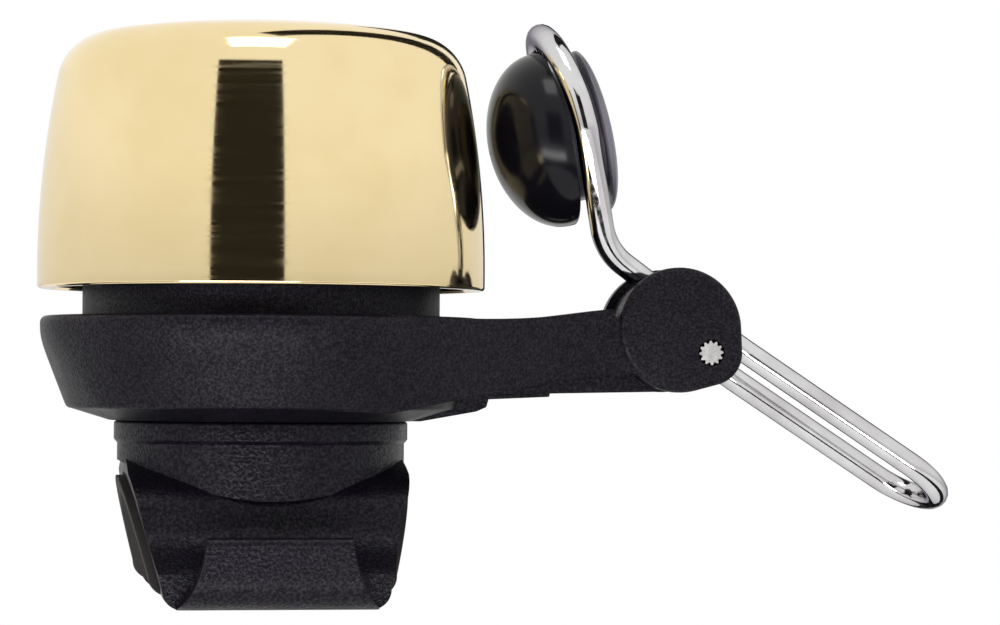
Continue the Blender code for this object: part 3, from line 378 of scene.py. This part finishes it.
CAD_FINISHES = {
    "wave_washer": plated_steel("spring_washer_steel", (0.55, 0.55, 0.56), 0.3),
    "thrust_washer": natural_nylon("thrust_nylon_white"),
    "swivel_screw": plated_steel("swivel_screw_zinc"),
    "drum_washer": plated_steel("drum_washer_zinc"),
    "mounting_post": plated_steel("post_zinc", (0.60, 0.60, 0.58), 0.28),
    "dome_bush": natural_nylon("bush_nylon_white"),
    "dome_washer": plated_steel("dome_washer_zinc"),
    "dome_screw": plated_steel("dome_screw_zinc", (0.66, 0.66, 0.66), 0.18),
    "hammer_hub_near": HUB_PAINTED_LIT_BLACK,
    "hammer_hub_far": HUB_PAINTED_LIT_BLACK,
    "return_spring": plated_steel("spring_wire_steel", (0.5, 0.5, 0.52), 0.3),
    "pivot_pin": plated_steel("pin_bright_steel", (0.74, 0.74, 0.74), 0.2),
}
for node, cad_finish in CAD_FINISHES.items():
    frame["nodes"][node].material_slots[0].material = cad_finish


# ---- Making pieces --------------------------------------------------------------------------------
def arc(centre, radius, start, end, steps):
    """Points on an arc, angles in radians."""
    turns = [start + (end - start) * i / steps for i in range(steps + 1)]
    return [(centre[0] + radius * math.cos(a), centre[1] + radius * math.sin(a)) for a in turns]


def curve_between(first, first_pull, second_pull, second, steps):
    """A cubic curve between two points, pulled towards two others."""
    points = []
    for i in range(steps + 1):
        t = i / steps
        weights = ((1 - t) ** 3, 3 * t * (1 - t) ** 2, 3 * t * t * (1 - t), t**3)
        knots = (first, first_pull, second_pull, second)
        points.append(tuple(sum(w * k[axis] for w, k in zip(weights, knots)) for axis in (0, 1)))
    return points


def spun(outline, sides):
    """A closed outline of (radius, height) points spun round Z into a bmesh."""
    bm = bmesh.new()
    verts = [bm.verts.new((radius, 0, height)) for radius, height in outline]
    pairs = zip(verts, verts[1:] + verts[:1])
    edges = [bm.edges.new(pair) for pair in pairs if pair[0].co.x > 0 or pair[1].co.x > 0]
    bmesh.ops.spin(bm, geom=verts + edges, cent=(0, 0, 0), axis=(0, 0, 1), dvec=(0, 0, 0),
                   angle=math.tau, steps=sides, use_merge=True)
    bmesh.ops.remove_doubles(bm, verts=bm.verts, dist=1e-7)
    return bm


def thick(outline, low, high, place):
    """A flat outline extruded from low to high; place turns (a, b, depth) into a point."""
    bm = bmesh.new()
    face = bm.faces.new([bm.verts.new(place(a, b, low)) for a, b in outline])
    grown = bmesh.ops.extrude_face_region(bm, geom=[face])["geom"]
    moved = [item for item in grown if isinstance(item, bmesh.types.BMVert)]
    bmesh.ops.translate(bm, verts=moved, vec=Vector(place(0, 0, high)) - Vector(place(0, 0, low)))
    return bm


def through_rings(rings):
    """A solid bridged through rings of points and closed at both ends."""
    bm = bmesh.new()
    loops = []
    for ring in rings:
        verts = [bm.verts.new(point) for point in ring]
        loops.append([bm.edges.new(pair) for pair in zip(verts, verts[1:] + verts[:1])])
    for low, high in zip(loops, loops[1:]):
        bmesh.ops.bridge_loops(bm, edges=low + high)
    for loop in (loops[0], loops[-1]):
        bmesh.ops.contextual_create(bm, geom=loop)
    return bm


def side_on(x, z, y):
    """A point of an outline seen from the front, y deep."""
    return (x, y, z)


def end_on(y, z, x):
    """A point of an outline seen from the end of the bar, x deep."""
    return (x, y, z)


def from_above(x, y, z):
    """A point of an outline seen from above, z high."""
    return (x, y, z)


def loose_object(name, bm):
    """The shape as an object, its faces turned outwards."""
    bmesh.ops.recalc_face_normals(bm, faces=bm.faces)
    mesh = bpy.data.meshes.new(name)
    bm.to_mesh(mesh)
    bm.free()
    made = bpy.data.objects.new(name, mesh)
    bpy.context.scene.collection.objects.link(made)
    return made


def carved(name, start, steps):
    """The start shape after each (operation, shape), with the tools removed again."""
    target = loose_object(name, start)
    tools = []
    for index, (operation, shape) in enumerate(steps):
        tool = loose_object(f"{name}_tool_{index}", shape)
        step = target.modifiers.new(tool.name, "BOOLEAN")
        step.operation = operation
        step.object = tool
        step.solver = "EXACT"
        tools.append(tool)
    depsgraph = bpy.context.evaluated_depsgraph_get()
    done = bpy.data.meshes.new_from_object(target.evaluated_get(depsgraph))
    target.modifiers.clear()
    target.data = done
    for tool in tools:
        bpy.data.objects.remove(tool, do_unlink=True)
    bm = bmesh.new()
    bm.from_mesh(done)
    bmesh.ops.remove_doubles(bm, verts=bm.verts, dist=2e-6)
    bmesh.ops.dissolve_degenerate(bm, edges=bm.edges, dist=2e-6)
    bmesh.ops.dissolve_limit(bm, angle_limit=math.radians(0.5), verts=bm.verts, edges=bm.edges)
    bm.to_mesh(done)
    bm.free()
    return target


def finish_piece(piece, body, nodes, finish, smooth=35.0, edge=0.0, segments=3):
    """Shading, an optional softened edge, the finish and the place in the frame."""
    piece.data.materials.clear()
    piece.data.materials.append(finish)
    piece.data.shade_smooth()
    piece.data.set_sharp_from_angle(angle=math.radians(smooth))
    if edge:
        soften = piece.modifiers.new("softened_edges", "BEVEL")
        soften.width = edge
        soften.segments = segments
        soften.limit_method = "ANGLE"
        soften.angle_limit = math.radians(smooth)
        soften.harden_normals = True
        soften.use_clamp_overlap = True
    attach(piece, body)
    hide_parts(*nodes)
    return piece


# ---- Sizes shared by several pieces ---------------------------------------------------------------
dome_low, dome_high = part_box("bell_dome")
base_low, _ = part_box("base_arm")
RIM = dome_low[2]
APEX = dome_high[2]
DOME_RADIUS = dome_high[0]
BASE_BOTTOM = base_low[2]
BASE_TOP = BASE_BOTTOM + 9.25 * MM
JOINTS = frame["record"]["behaviour"]["joints"]
PIVOT = Vector(next(joint["pos_m"] for joint in JOINTS if joint["name"] == "hammer_pivot"))
PIVOT_X, PIVOT_Z = PIVOT.x, PIVOT.z
SEAT = 0.3 * MM  # depth that one piece is let into another
POST_BORE = 3.3 * MM
BOSS_RADIUS = 5 * MM  # boss round the post, in the drum and in the base
THRUST_RADIUS = 8.3 * MM  # pocket of the thrust washer, in the base and in the puck


# ---- Dome -----------------------------------------------------------------------------------------
DOME_WALL = 1.4 * MM
DOME_HOLE = 3.2 * MM
DIMPLE_DEPTH = 2.2 * MM
DIMPLE_RADIUS = 4.9 * MM
DIMPLE_INSIDE = 5.4 * MM
DIMPLE_SLOPE = 1.6 * MM
BELT = 1.5 * MM  # the widest place, above the rim
SIDE_ARC = 88 * MM
CORNER_ARC = 4.7 * MM
CROWN_ARC = 98 * MM
RIM_ROUND = 0.3 * MM


def circles_meet(first, first_radius, second, second_radius):
    """The right-hand point where two circles cross."""
    gap = (second[0] - first[0], second[1] - first[1])
    length = math.hypot(*gap)
    along = (first_radius**2 - second_radius**2 + length**2) / (2 * length)
    across = math.sqrt(first_radius**2 - along**2)
    base = (first[0] + along * gap[0] / length, first[1] + along * gap[1] / length)
    return max((base[0] + s * across * gap[1] / length, base[1] - s * across * gap[0] / length)
               for s in (-1, 1))


def dome_skin(inset, dimple, floor):
    """Outer or inner face of the dome, from the dimple to the rim."""
    side = (DOME_RADIUS - SIDE_ARC, RIM + BELT)
    crown = (0, APEX - CROWN_ARC)
    corner = circles_meet(side, SIDE_ARC - CORNER_ARC, crown, CROWN_ARC - CORNER_ARC)
    crown_end = math.atan2(corner[1] - crown[1], corner[0] - crown[0])
    side_end = math.atan2(corner[1] - side[1], corner[0] - side[0])
    lip_angle = math.acos((dimple + DIMPLE_SLOPE) / (CROWN_ARC - inset))
    lip = crown[1] + (CROWN_ARC - inset) * math.sin(lip_angle)
    points = [(dimple * 0.97, floor)]
    for step in range(1, 10):
        t = step / 10
        points.append((dimple + DIMPLE_SLOPE * t, floor + (lip - floor) * t * t * (3 - 2 * t)))
    points += arc(crown, CROWN_ARC - inset, lip_angle, crown_end, 14)
    points += arc(corner, CORNER_ARC - inset, crown_end, side_end, 22)[1:-1]
    rim_angle = -math.asin((BELT - RIM_ROUND) / SIDE_ARC)
    return points + arc(side, SIDE_ARC - inset, side_end, rim_angle, 20)


def make_dome():
    """The turned dome, with a small round at the rim and the pressed dimple in its top."""
    floor = APEX - DIMPLE_DEPTH
    outside = dome_skin(0, DIMPLE_RADIUS, floor)
    inside = dome_skin(DOME_WALL, DIMPLE_INSIDE, floor - DOME_WALL)
    edge, inner_edge = outside[-1][0], inside[-1][0]
    chamfer = 0.2 * MM
    rim = arc((edge - RIM_ROUND, RIM + RIM_ROUND), RIM_ROUND, -0.2, -math.pi / 2, 6)
    rim += [(inner_edge + chamfer, RIM), (inner_edge, RIM + chamfer)]
    outline = [(DOME_HOLE, floor)] + outside + rim + inside[::-1] + [(DOME_HOLE, floor - DOME_WALL)]
    dome = loose_object("brass_dome", spun(outline, 192))
    finish_piece(dome, "bell", ["bell_dome"], BRASS, 40)


# ---- Drum -----------------------------------------------------------------------------------------
def make_drum():
    """The black drum under the dome, with a rounded shoulder."""
    low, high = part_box("mount_drum")
    radius, foot, top = high[0], low[2], high[2]
    wall, shoulder = 2 * MM, 0.4 * MM
    under = top - wall
    outline = [(POST_BORE, top), (radius - shoulder, top)]
    outline += arc((radius - shoulder, top - shoulder), shoulder, math.pi / 2, 0, 5)[1:]
    outline += [(radius, foot), (radius - wall, foot), (radius - wall, under),
                (BOSS_RADIUS, under), (BOSS_RADIUS, foot), (POST_BORE, foot)]
    drum = loose_object("drum_shell", spun(outline, 128))
    finish_piece(drum, "bell", ["mount_drum"], DRUM_BLACK, 40)


# ---- Base, arm and knuckle ------------------------------------------------------------------------
KNUCKLE = (PIVOT_X - 2.8 * MM, PIVOT_Z + 2.05 * MM)
KNUCKLE_RADIUS = 5.65 * MM
CHEEK_INSIDE = 3.6 * MM
CHEEK_OUTSIDE = 5.2 * MM
CHEEK_EDGE = 0.55 * MM
PIN_WALL_RADIUS = 2.95 * MM
PIN_HOLE_NEAR = 1.2 * MM
PIN_HOLE_FAR = 0.9 * MM
BASE_RADIUS = 19.75 * MM
BASE_EDGE = 0.6 * MM
BASE_FOOT_RADIUS = 17.0 * MM
BASE_STEP = 1.55 * MM  # height of the foot's straight part
ARM_ROOT = 18.6 * MM  # half the arm's width where it leaves the base
ARM_DRAFT = 2.35 * MM
RIB_HALF = 3.4 * MM


def two_circles(first, first_radius, second, second_radius, steps=64):
    """The outline of a belt drawn tight round two circles."""
    gap = (second[0] - first[0], second[1] - first[1])
    length = math.hypot(*gap)
    heading = math.atan2(gap[1], gap[0])
    spread = math.acos((first_radius - second_radius) / length)
    points = arc(first, first_radius, heading + spread, heading + math.tau - spread, steps)
    return points + arc(second, second_radius, heading - spread, heading + spread, steps // 3)


def knuckle_outline(inset):
    """The knuckle seen from the front, drawn in by the inset."""
    return two_circles(KNUCKLE, KNUCKLE_RADIUS - inset, (PIVOT_X, PIVOT_Z), PIN_WALL_RADIUS - inset)


def cheek(side):
    """One cheek, rounded over at its outer face."""
    inner, outer = side * (CHEEK_INSIDE - 1 * MM), side * CHEEK_OUTSIDE
    rings = [(0, inner)]
    for step in range(7):
        a = math.pi / 2 * step / 6
        rings.append((CHEEK_EDGE * (1 - math.cos(a)), outer - side * CHEEK_EDGE * (1 - math.sin(a))))
    return through_rings([[side_on(x, z, y) for x, z in knuckle_outline(inset)] for inset, y in rings])


def arm_plan(root_half):
    """The arm seen from above, from the middle of the base to the knuckle."""
    start = (4.25 * MM, root_half)
    pull, turn = 12 * MM, math.radians(13)
    tip = CHEEK_OUTSIDE - CHEEK_EDGE / 2
    end = (KNUCKLE[0] - KNUCKLE_RADIUS + 0.2 * MM, tip)
    side = [(0, root_half / 2)] + curve_between(
        start, (start[0] + pull * math.cos(turn), start[1] - pull * math.sin(turn)),
        (end[0] - 0.8 * pull, end[1] + 1.6 * MM), end, 28)
    side += [(KNUCKLE[0] - 2 * MM, tip)]
    return side + [(x, -y) for x, y in reversed(side)]


def arm_side():
    """The arm seen from the front."""
    tip = KNUCKLE[0] - KNUCKLE_RADIUS
    under = PIVOT_Z - 2 * MM
    top = curve_between((tip - 0.6 * MM, BASE_TOP + 0.95 * MM), (tip - 6 * MM, BASE_TOP + 0.3 * MM),
                        (tip - 9 * MM, BASE_TOP - 0.5 * MM), (10 * MM, BASE_TOP), 14)
    return [
        (0, BASE_BOTTOM + 1.25 * MM), (10 * MM, BASE_BOTTOM + 0.8 * MM),
        (tip - 5.7 * MM, under - 0.4 * MM), (tip - 2.7 * MM, under), (KNUCKLE[0] - 1 * MM, under + 0.1 * MM),
        (KNUCKLE[0] - 1 * MM, BASE_TOP - 0.3 * MM), (tip - 0.2 * MM, BASE_TOP),
    ] + top + [(0, BASE_TOP)]


def rib_side():
    """The stepped rib under the arm, seen from the front."""
    tip = KNUCKLE[0] - KNUCKLE_RADIUS
    step = tip - 12.7 * MM
    low = BASE_BOTTOM
    return [
        (0, low), (14 * MM, low), (step, low + 0.9 * MM), (step + 0.9 * MM, low + 1.3 * MM),
        (step + 1.1 * MM, low + 2.0 * MM), (tip - 6.1 * MM, low + 2.25 * MM),
        (tip - 6.0 * MM, low + 2.55 * MM), (tip + 3.6 * MM, low + 2.75 * MM), (tip + 3.6 * MM, PIVOT_Z),
        (0, PIVOT_Z),
    ]


def base_outline():
    """Half the base's section: rounded top edge, wall that draws in, small foot."""
    edge, foot = BASE_RADIUS - BASE_EDGE, BASE_BOTTOM + BASE_STEP
    outline = [(0, BASE_TOP), (edge, BASE_TOP)]
    outline += arc((edge, BASE_TOP - BASE_EDGE), BASE_EDGE, math.pi / 2, 0, 6)[1:]
    outline += curve_between((BASE_RADIUS, BASE_TOP - 0.9 * MM), (BASE_RADIUS, BASE_TOP - 2.4 * MM),
                             (BASE_RADIUS - 0.5 * MM, BASE_TOP - 3.2 * MM), (17.55 * MM, foot), 8)
    outline += arc((BASE_FOOT_RADIUS, foot), 0.5 * MM, -0.3, -math.pi / 2, 5)
    return outline + [(13.6 * MM, BASE_BOTTOM), (0, BASE_BOTTOM)]


def base_well():
    """Half the section of what is hollowed out of the base."""
    above, below = BASE_TOP + 2 * MM, BASE_BOTTOM - 1 * MM
    recess, floor = BASE_TOP - 0.6 * MM, BASE_BOTTOM + 2.6 * MM
    thrust = BASE_BOTTOM + 0.6 * MM
    drum_seat, well = 16.3 * MM, 14.4 * MM
    return [
        (0, above), (drum_seat, above), (drum_seat, recess), (well, recess), (well, floor),
        (BOSS_RADIUS, floor), (BOSS_RADIUS, recess), (POST_BORE, recess), (POST_BORE, thrust),
        (THRUST_RADIUS, thrust), (THRUST_RADIUS, below), (0, below),
    ]


def hole_round_pivot(radius, low, high):
    """A round bar on the pivot's line."""
    turns = [math.tau * i / 48 for i in range(48)]
    ring = [(PIVOT_X + radius * math.cos(turn), PIVOT_Z + radius * math.sin(turn)) for turn in turns]
    return thick(ring, low, high, side_on)


def make_base():
    """Base and arm moulding: round body, tapering arm, stepped rib and the two rounded cheeks."""
    below, above = BASE_TOP - 2 * MM, BASE_TOP + 2 * MM
    levels = ((BASE_BOTTOM, ARM_ROOT - ARM_DRAFT), (below, ARM_ROOT), (above, ARM_ROOT))
    plan = through_rings([[from_above(x, y, z) for x, y in arm_plan(half)] for z, half in levels])
    arm = carved("arm", plan, [("INTERSECT", thick(arm_side(), -ARM_ROOT, ARM_ROOT, side_on))])
    arm_shape = bmesh.new()
    arm_shape.from_mesh(arm.data)
    bpy.data.objects.remove(arm, do_unlink=True)
    slot = two_circles(KNUCKLE, KNUCKLE_RADIUS + 0.1 * MM, (KNUCKLE[0] + 12 * MM, KNUCKLE[1] - 1 * MM),
                       KNUCKLE_RADIUS, 72)
    through = CHEEK_OUTSIDE + 1 * MM
    base = carved("base_and_arm", spun(base_outline(), 160), [
        ("UNION", arm_shape),
        ("UNION", thick(rib_side(), -RIB_HALF, RIB_HALF, side_on)),
        ("UNION", cheek(-1)),
        ("UNION", cheek(1)),
        ("DIFFERENCE", spun(base_well(), 128)),
        ("DIFFERENCE", thick(slot, -CHEEK_INSIDE, CHEEK_INSIDE, side_on)),
        ("DIFFERENCE", hole_round_pivot(PIN_HOLE_NEAR, -through, 0)),
        ("DIFFERENCE", hole_round_pivot(PIN_HOLE_FAR, 0, through)),
    ])
    finish_piece(base, "bell", ["base_arm"], BASE_BLACK, 28, 0.16 * MM, 2)


# ---- Saddle and pad -------------------------------------------------------------------------------
CHANNEL = 14.5 * MM  # radius of the saddle's channel
PUCK_TOP = 18.8 * MM
PUCK_RADIUS = 13.15 * MM
SKIRT_RADIUS = 12.85 * MM
PUCK_DEPTH = 8 * MM
FOOT = 3.2 * MM
FOOT_WIDTH = 19.6 * MM
LEG_FLARE = 5.0 * MM
FOOT_CORNER = 1.7 * MM
ARCH = 27 * MM  # plate over the channel
ARCH_CENTRE = CHANNEL + 1.45 * MM - 27 * MM
PUCK_ARCH = 26.6 * MM  # the puck's underside, just inside the plate
LEG_SPREAD = math.sqrt(CHANNEL**2 - FOOT**2)  # half the channel's width at the foot
HOOK_OUT = 5.6 * MM
HOOK_WALL = 1.7 * MM
HOOK_RISE = 6.2 * MM
TAB_HALF = 6.1 * MM


def leg_half(height):
    """Half the legs' width at a height, seen from the front."""
    share = (height - FOOT) / (CHANNEL - FOOT)
    return (FOOT_WIDTH + LEG_FLARE * share) / 2


def front_outline(extra, foot, top):
    """The legs seen from the front, made wider on each side by the extra."""
    foot_half = leg_half(foot) + extra
    corner = arc((foot_half - FOOT_CORNER, foot + FOOT_CORNER), FOOT_CORNER, -math.pi / 2, 0, 10)
    side = corner + [(leg_half(CHANNEL) + extra, CHANNEL), (leg_half(CHANNEL) + extra, top)]
    return side + [(-x, z) for x, z in reversed(side)]


def saddle_section():
    """The saddle seen from the end of the bar: plate, legs, gutters and turned-up hooks."""
    out = LEG_SPREAD + HOOK_OUT
    inner = out - HOOK_WALL
    top = FOOT + HOOK_RISE
    gutter = FOOT + 3.0 * MM
    root = 12.5 * MM
    root_angle = math.asin((root - 2.4 * MM) / ARCH)
    points = arc((0, ARCH_CENTRE), ARCH, math.pi / 2, math.pi / 2 - root_angle, 20)
    root_z = points[-1][1] - 1.5 * MM
    points += curve_between(points[-1], (root - 1.0 * MM, root_z + 0.8 * MM), (root, root_z),
                            (root, root_z - 1.6 * MM), 10)[1:]
    points += curve_between(points[-1], (root, root_z - 4.2 * MM),
                            (inner - 3.0 * MM, gutter + 1.4 * MM), (inner - 1.2 * MM, gutter), 16)[1:]
    points += arc((inner - 1.0 * MM, gutter + 1.0 * MM), 1.0 * MM, -math.pi / 2, 0, 6)[1:]
    points += arc((inner + 0.5 * MM, top - 0.5 * MM), 0.5 * MM, math.pi, math.pi / 2, 5)
    points += arc((out - 0.6 * MM, top - 0.6 * MM), 0.6 * MM, math.pi / 2, 0, 5)
    points += arc((out - 2.6 * MM, FOOT + 2.6 * MM), 2.6 * MM, 0, -math.pi / 2, 12)
    low = math.asin(FOOT / CHANNEL)
    inside = arc((0, 0), CHANNEL, low, math.pi - low, 48)
    return points + inside + [(-y, z) for y, z in reversed(points[1:])]


def beside_tab():
    """What is cut away beside a hook's tab, seen from the front."""
    above, below, outside = FOOT + HOOK_RISE + 1 * MM, FOOT - 0.2 * MM, 13.15 * MM
    edge = curve_between((TAB_HALF, above), (TAB_HALF + 0.2 * MM, FOOT + 4.0 * MM),
                         (TAB_HALF + 0.7 * MM, FOOT + 1.6 * MM), (TAB_HALF + 2.9 * MM, below), 16)
    return edge + [(outside, below), (outside, above)]


def under_puck():
    """The room above the arched plate, seen from the end of the bar."""
    span = math.asin(14.4 * MM / PUCK_ARCH)
    low = arc((0, ARCH_CENTRE), PUCK_ARCH, math.pi / 2 - span, math.pi / 2 + span, 40)
    return low + [(low[-1][0], PUCK_TOP + 1 * MM), (low[0][0], PUCK_TOP + 1 * MM)]


def make_saddle():
    """Puck, arched plate, flared legs and the two hooks."""
    crown = PUCK_TOP + 0.24 * MM
    edge = 0.25 * MM
    puck_outline = [(0, crown)] + arc((PUCK_RADIUS - edge, crown - edge), edge, math.pi / 2, 0, 4)
    puck_outline += [(PUCK_RADIUS, PUCK_TOP - 1.35 * MM), (PUCK_RADIUS - 0.1 * MM, PUCK_TOP - 1.5 * MM),
                     (SKIRT_RADIUS, PUCK_TOP - 1.7 * MM), (SKIRT_RADIUS, PUCK_TOP - PUCK_DEPTH),
                     (0, PUCK_TOP - PUCK_DEPTH)]
    puck = carved("puck", spun(puck_outline, 160), [
        ("INTERSECT", thick(under_puck(), -14 * MM, 14 * MM, end_on)),
    ])
    puck_shape = bmesh.new()
    puck_shape.from_mesh(puck.data)
    bpy.data.objects.remove(puck, do_unlink=True)
    legs = front_outline(0, FOOT - 0.01 * MM, PUCK_TOP)
    steps = [("INTERSECT", thick(legs, -21 * MM, 21 * MM, side_on))]
    inner = LEG_SPREAD + HOOK_OUT - HOOK_WALL
    for side in (-1, 1):
        for end in (-1, 1):
            waste = [(end * x, z) for x, z in beside_tab()]
            near, far = side * (inner - 1.2 * MM), side * (inner + 6 * MM)
            steps.append(("DIFFERENCE", thick(waste, near, far, side_on)))
    steps.append(("UNION", puck_shape))
    above, below, web = PUCK_TOP + 1 * MM, 11.5 * MM, PUCK_TOP - 1.5 * MM
    screw_hole, head_hole = 2.1 * MM, 4.6 * MM
    steps.append(("DIFFERENCE", spun([
        (0, above), (THRUST_RADIUS, above), (THRUST_RADIUS, PUCK_TOP - SEAT),
        (screw_hole, PUCK_TOP - SEAT), (screw_hole, web), (head_hole, web), (head_hole, below), (0, below),
    ], 96)))
    saddle = carved("saddle_moulding", thick(saddle_section(), -13.3 * MM, 13.3 * MM, end_on), steps)
    finish_piece(saddle, "saddle", ["bar_saddle"], SADDLE_BLACK, 28, 0.2 * MM, 2)


def make_pad():
    """Rubber liner, its edges rounded."""
    outer, inner = 14.2 * MM, 12.7 * MM
    foot = FOOT + 1.0 * MM
    outer_foot, inner_foot = math.asin(foot / outer), math.asin(foot / inner)
    section = arc((0, 0), outer, outer_foot, math.pi - outer_foot, 60)
    section += arc((0, 0), inner, math.pi - inner_foot, inner_foot, 60)
    edges = front_outline(0.75 * MM, foot - 0.01 * MM, CHANNEL)
    pad = carved("rubber_liner", thick(section, -13.8 * MM, 13.8 * MM, end_on), [
        ("INTERSECT", thick(edges, -15 * MM, 15 * MM, side_on)),
    ])
    finish_piece(pad, "saddle", ["saddle_pad"], RUBBER, 35, 0.25 * MM, 3)


# ---- Hammer ---------------------------------------------------------------------------------------
TILT = math.radians(13.5)
STRIKER_CENTRE = Vector((28.25 * MM, 0, PIVOT_Z + 19.8 * MM))
STRIKER_AXIS = Vector((-math.cos(TILT), 0, -math.sin(TILT)))
STRIKER_UP = Vector((-math.sin(TILT), 0, math.cos(TILT)))
LEVER_TURN = math.radians(34.2)
LEVER_AXIS = Vector((math.cos(LEVER_TURN), 0, -math.sin(LEVER_TURN)))
LEVER_UP = Vector((math.sin(LEVER_TURN), 0, math.cos(LEVER_TURN)))
WIRE_RADIUS = 1.1 * MM
KNOB_FACE = 1.55 * MM  # from the eye's plane to the cap and to the back plate
KNOB_RADIUS = 8.0 * MM
CAP_DEPTH = 6.15 * MM
PLUG_LENGTH = 3.6 * MM
EYE_RADIUS = 7.4 * MM
STRAND = 2.2 * MM  # each strand from the middle, in the hub
LOOP_HALF = 4.6 * MM
LOOP_REACH = 25.7 * MM


def on_striker_axis(bm):
    """The shape moved from the origin onto the knob's own axis."""
    turn = STRIKER_AXIS.to_track_quat("Z", "Y").to_matrix().to_4x4()
    bmesh.ops.transform(bm, verts=bm.verts, matrix=Matrix.Translation(STRIKER_CENTRE) @ turn)
    return bm


def make_striker():
    """Glossy cap with a rolled edge and a tiny gate hole, and the back plate with its groove."""
    lip, edge, socket = 0.5 * MM, 0.15 * MM, 3.3 * MM
    pole = KNOB_FACE + CAP_DEPTH
    nose = arc((0, 0), 1.0, math.pi / 2, 0, 40)
    outline = [(0, pole - 0.3 * MM), (0.12 * MM, pole - 0.3 * MM), (0.15 * MM, pole - 0.02 * MM)]
    outline += [(KNOB_RADIUS * r, KNOB_FACE + lip + (CAP_DEPTH - lip) * h) for r, h in nose[2:]]
    outline += [(KNOB_RADIUS, KNOB_FACE + edge)]
    outline += arc((KNOB_RADIUS - edge, KNOB_FACE + edge), edge, 0, -math.pi / 2, 4)[1:]
    outline += [(socket, KNOB_FACE), (socket, KNOB_FACE + PLUG_LENGTH), (0, KNOB_FACE + PLUG_LENGTH)]
    cap = loose_object("knob_cap", on_striker_axis(spun(outline, 128)))
    finish_piece(cap, "hammer", ["striker_cap"], CAP_GLOSS, 50)

    back = -KNOB_FACE
    deep = back - 1.2 * MM
    plug_end, shelf = KNOB_FACE + PLUG_LENGTH - SEAT, KNOB_FACE - SEAT
    plug, groove = 3.0 * MM, 6.0 * MM
    outline = [(0, plug_end), (plug, plug_end), (plug, shelf), (groove, shelf), (groove, back),
               (7.25 * MM, back), (7.4 * MM, back - 0.12 * MM), (7.4 * MM, back - 0.35 * MM)]
    outline += curve_between((7.3 * MM, back - 0.45 * MM), (6.6 * MM, back - 0.95 * MM),
                             (5.2 * MM, deep), (3.0 * MM, deep), 14)
    outline += [(0, deep)]
    plate = loose_object("knob_back", on_striker_axis(spun(outline, 128)))
    finish_piece(plate, "hammer", ["striker_back"], BACK_GLOSS, 50)


def lever_point(reach, lift, side):
    """A point along the thumb loop, from the pivot."""
    return PIVOT + LEVER_AXIS * reach + LEVER_UP * lift + Vector((0, side, 0))


def rounded_route(corners, fineness=14):
    """Points along straight runs joined by arcs; corners are (point, bend radius)."""
    points = [corners[0][0]]
    for (before, _), (corner, radius), (after, _) in zip(corners, corners[1:], corners[2:]):
        arrive = (corner - before).normalized()
        leave = (after - corner).normalized()
        turn = arrive.angle(leave)
        start = corner - arrive * (radius * math.tan(turn / 2))
        inward = (leave - arrive * leave.dot(arrive)).normalized()
        centre = start + inward * radius
        count = max(4, round(fineness * turn / (math.pi / 4)))
        for i in range(count + 1):
            a = turn * i / count
            points.append(centre - inward * radius * math.cos(a) + arrive * radius * math.sin(a))
    return points + [corners[-1][0]]


def wire_route():
    """Eye round the knob, stem, near strand, end bend and far strand."""
    tail = math.radians(-35)
    eye = []
    for i in range(65):
        angle = tail + (math.pi - tail) * i / 64
        rise = EYE_RADIUS + (2.0 * MM if angle > 0 else 0) * min(1, max(0, math.sin(angle)) * 6)
        lean = 0.9 * MM * max(0.0, math.sin(angle)) ** 2
        eye.append(STRIKER_CENTRE + Vector((0, EYE_RADIUS * math.cos(angle), 0))
                   + STRIKER_UP * (rise * math.sin(angle)) + STRIKER_AXIS * lean)
    lift, far_lift, bend = 2.3 * MM, 0.15 * MM, LOOP_HALF * 0.88
    corners = [
        (eye[-1], 0), (Vector((30.7 * MM, -3.7 * MM, PIVOT_Z + 9.2 * MM)), 6 * MM),
        (lever_point(-8.0 * MM, lift, -STRAND), 6 * MM), (lever_point(3.2 * MM, lift, -STRAND), 8 * MM),
        (lever_point(LOOP_REACH, lift, -LOOP_HALF), bend),
        (lever_point(LOOP_REACH, lift - 1.5 * MM, LOOP_HALF), bend),
        (lever_point(4.7 * MM, far_lift, STRAND), 8 * MM), (lever_point(1.8 * MM, far_lift, STRAND), 0),
    ]
    return eye[:-1] + rounded_route(corners)


def make_wire():
    """The whole hammer wire as one swept round."""
    curve = bpy.data.curves.new("wire_path", "CURVE")
    curve.dimensions = "3D"
    curve.bevel_depth = WIRE_RADIUS
    curve.bevel_resolution = 6
    curve.use_fill_caps = True
    spline = curve.splines.new("POLY")
    route = wire_route()
    spline.points.add(len(route) - 1)
    for knot, point in zip(spline.points, route):
        knot.co = (*point, 1)
    path = bpy.data.objects.new("wire_path", curve)
    bpy.context.scene.collection.objects.link(path)
    depsgraph = bpy.context.evaluated_depsgraph_get()
    mesh = bpy.data.meshes.new_from_object(path.evaluated_get(depsgraph))
    bpy.data.objects.remove(path, do_unlink=True)
    bm = bmesh.new()
    bm.from_mesh(mesh)
    bmesh.ops.remove_doubles(bm, verts=bm.verts, dist=1e-7)
    wire = loose_object("hammer_wire_chromed", bm)
    finish_piece(wire, "hammer", ["hammer_wire"], CHROME, 50)


make_dome()
make_drum()
make_base()
make_saddle()
make_pad()
make_striker()
make_wire()
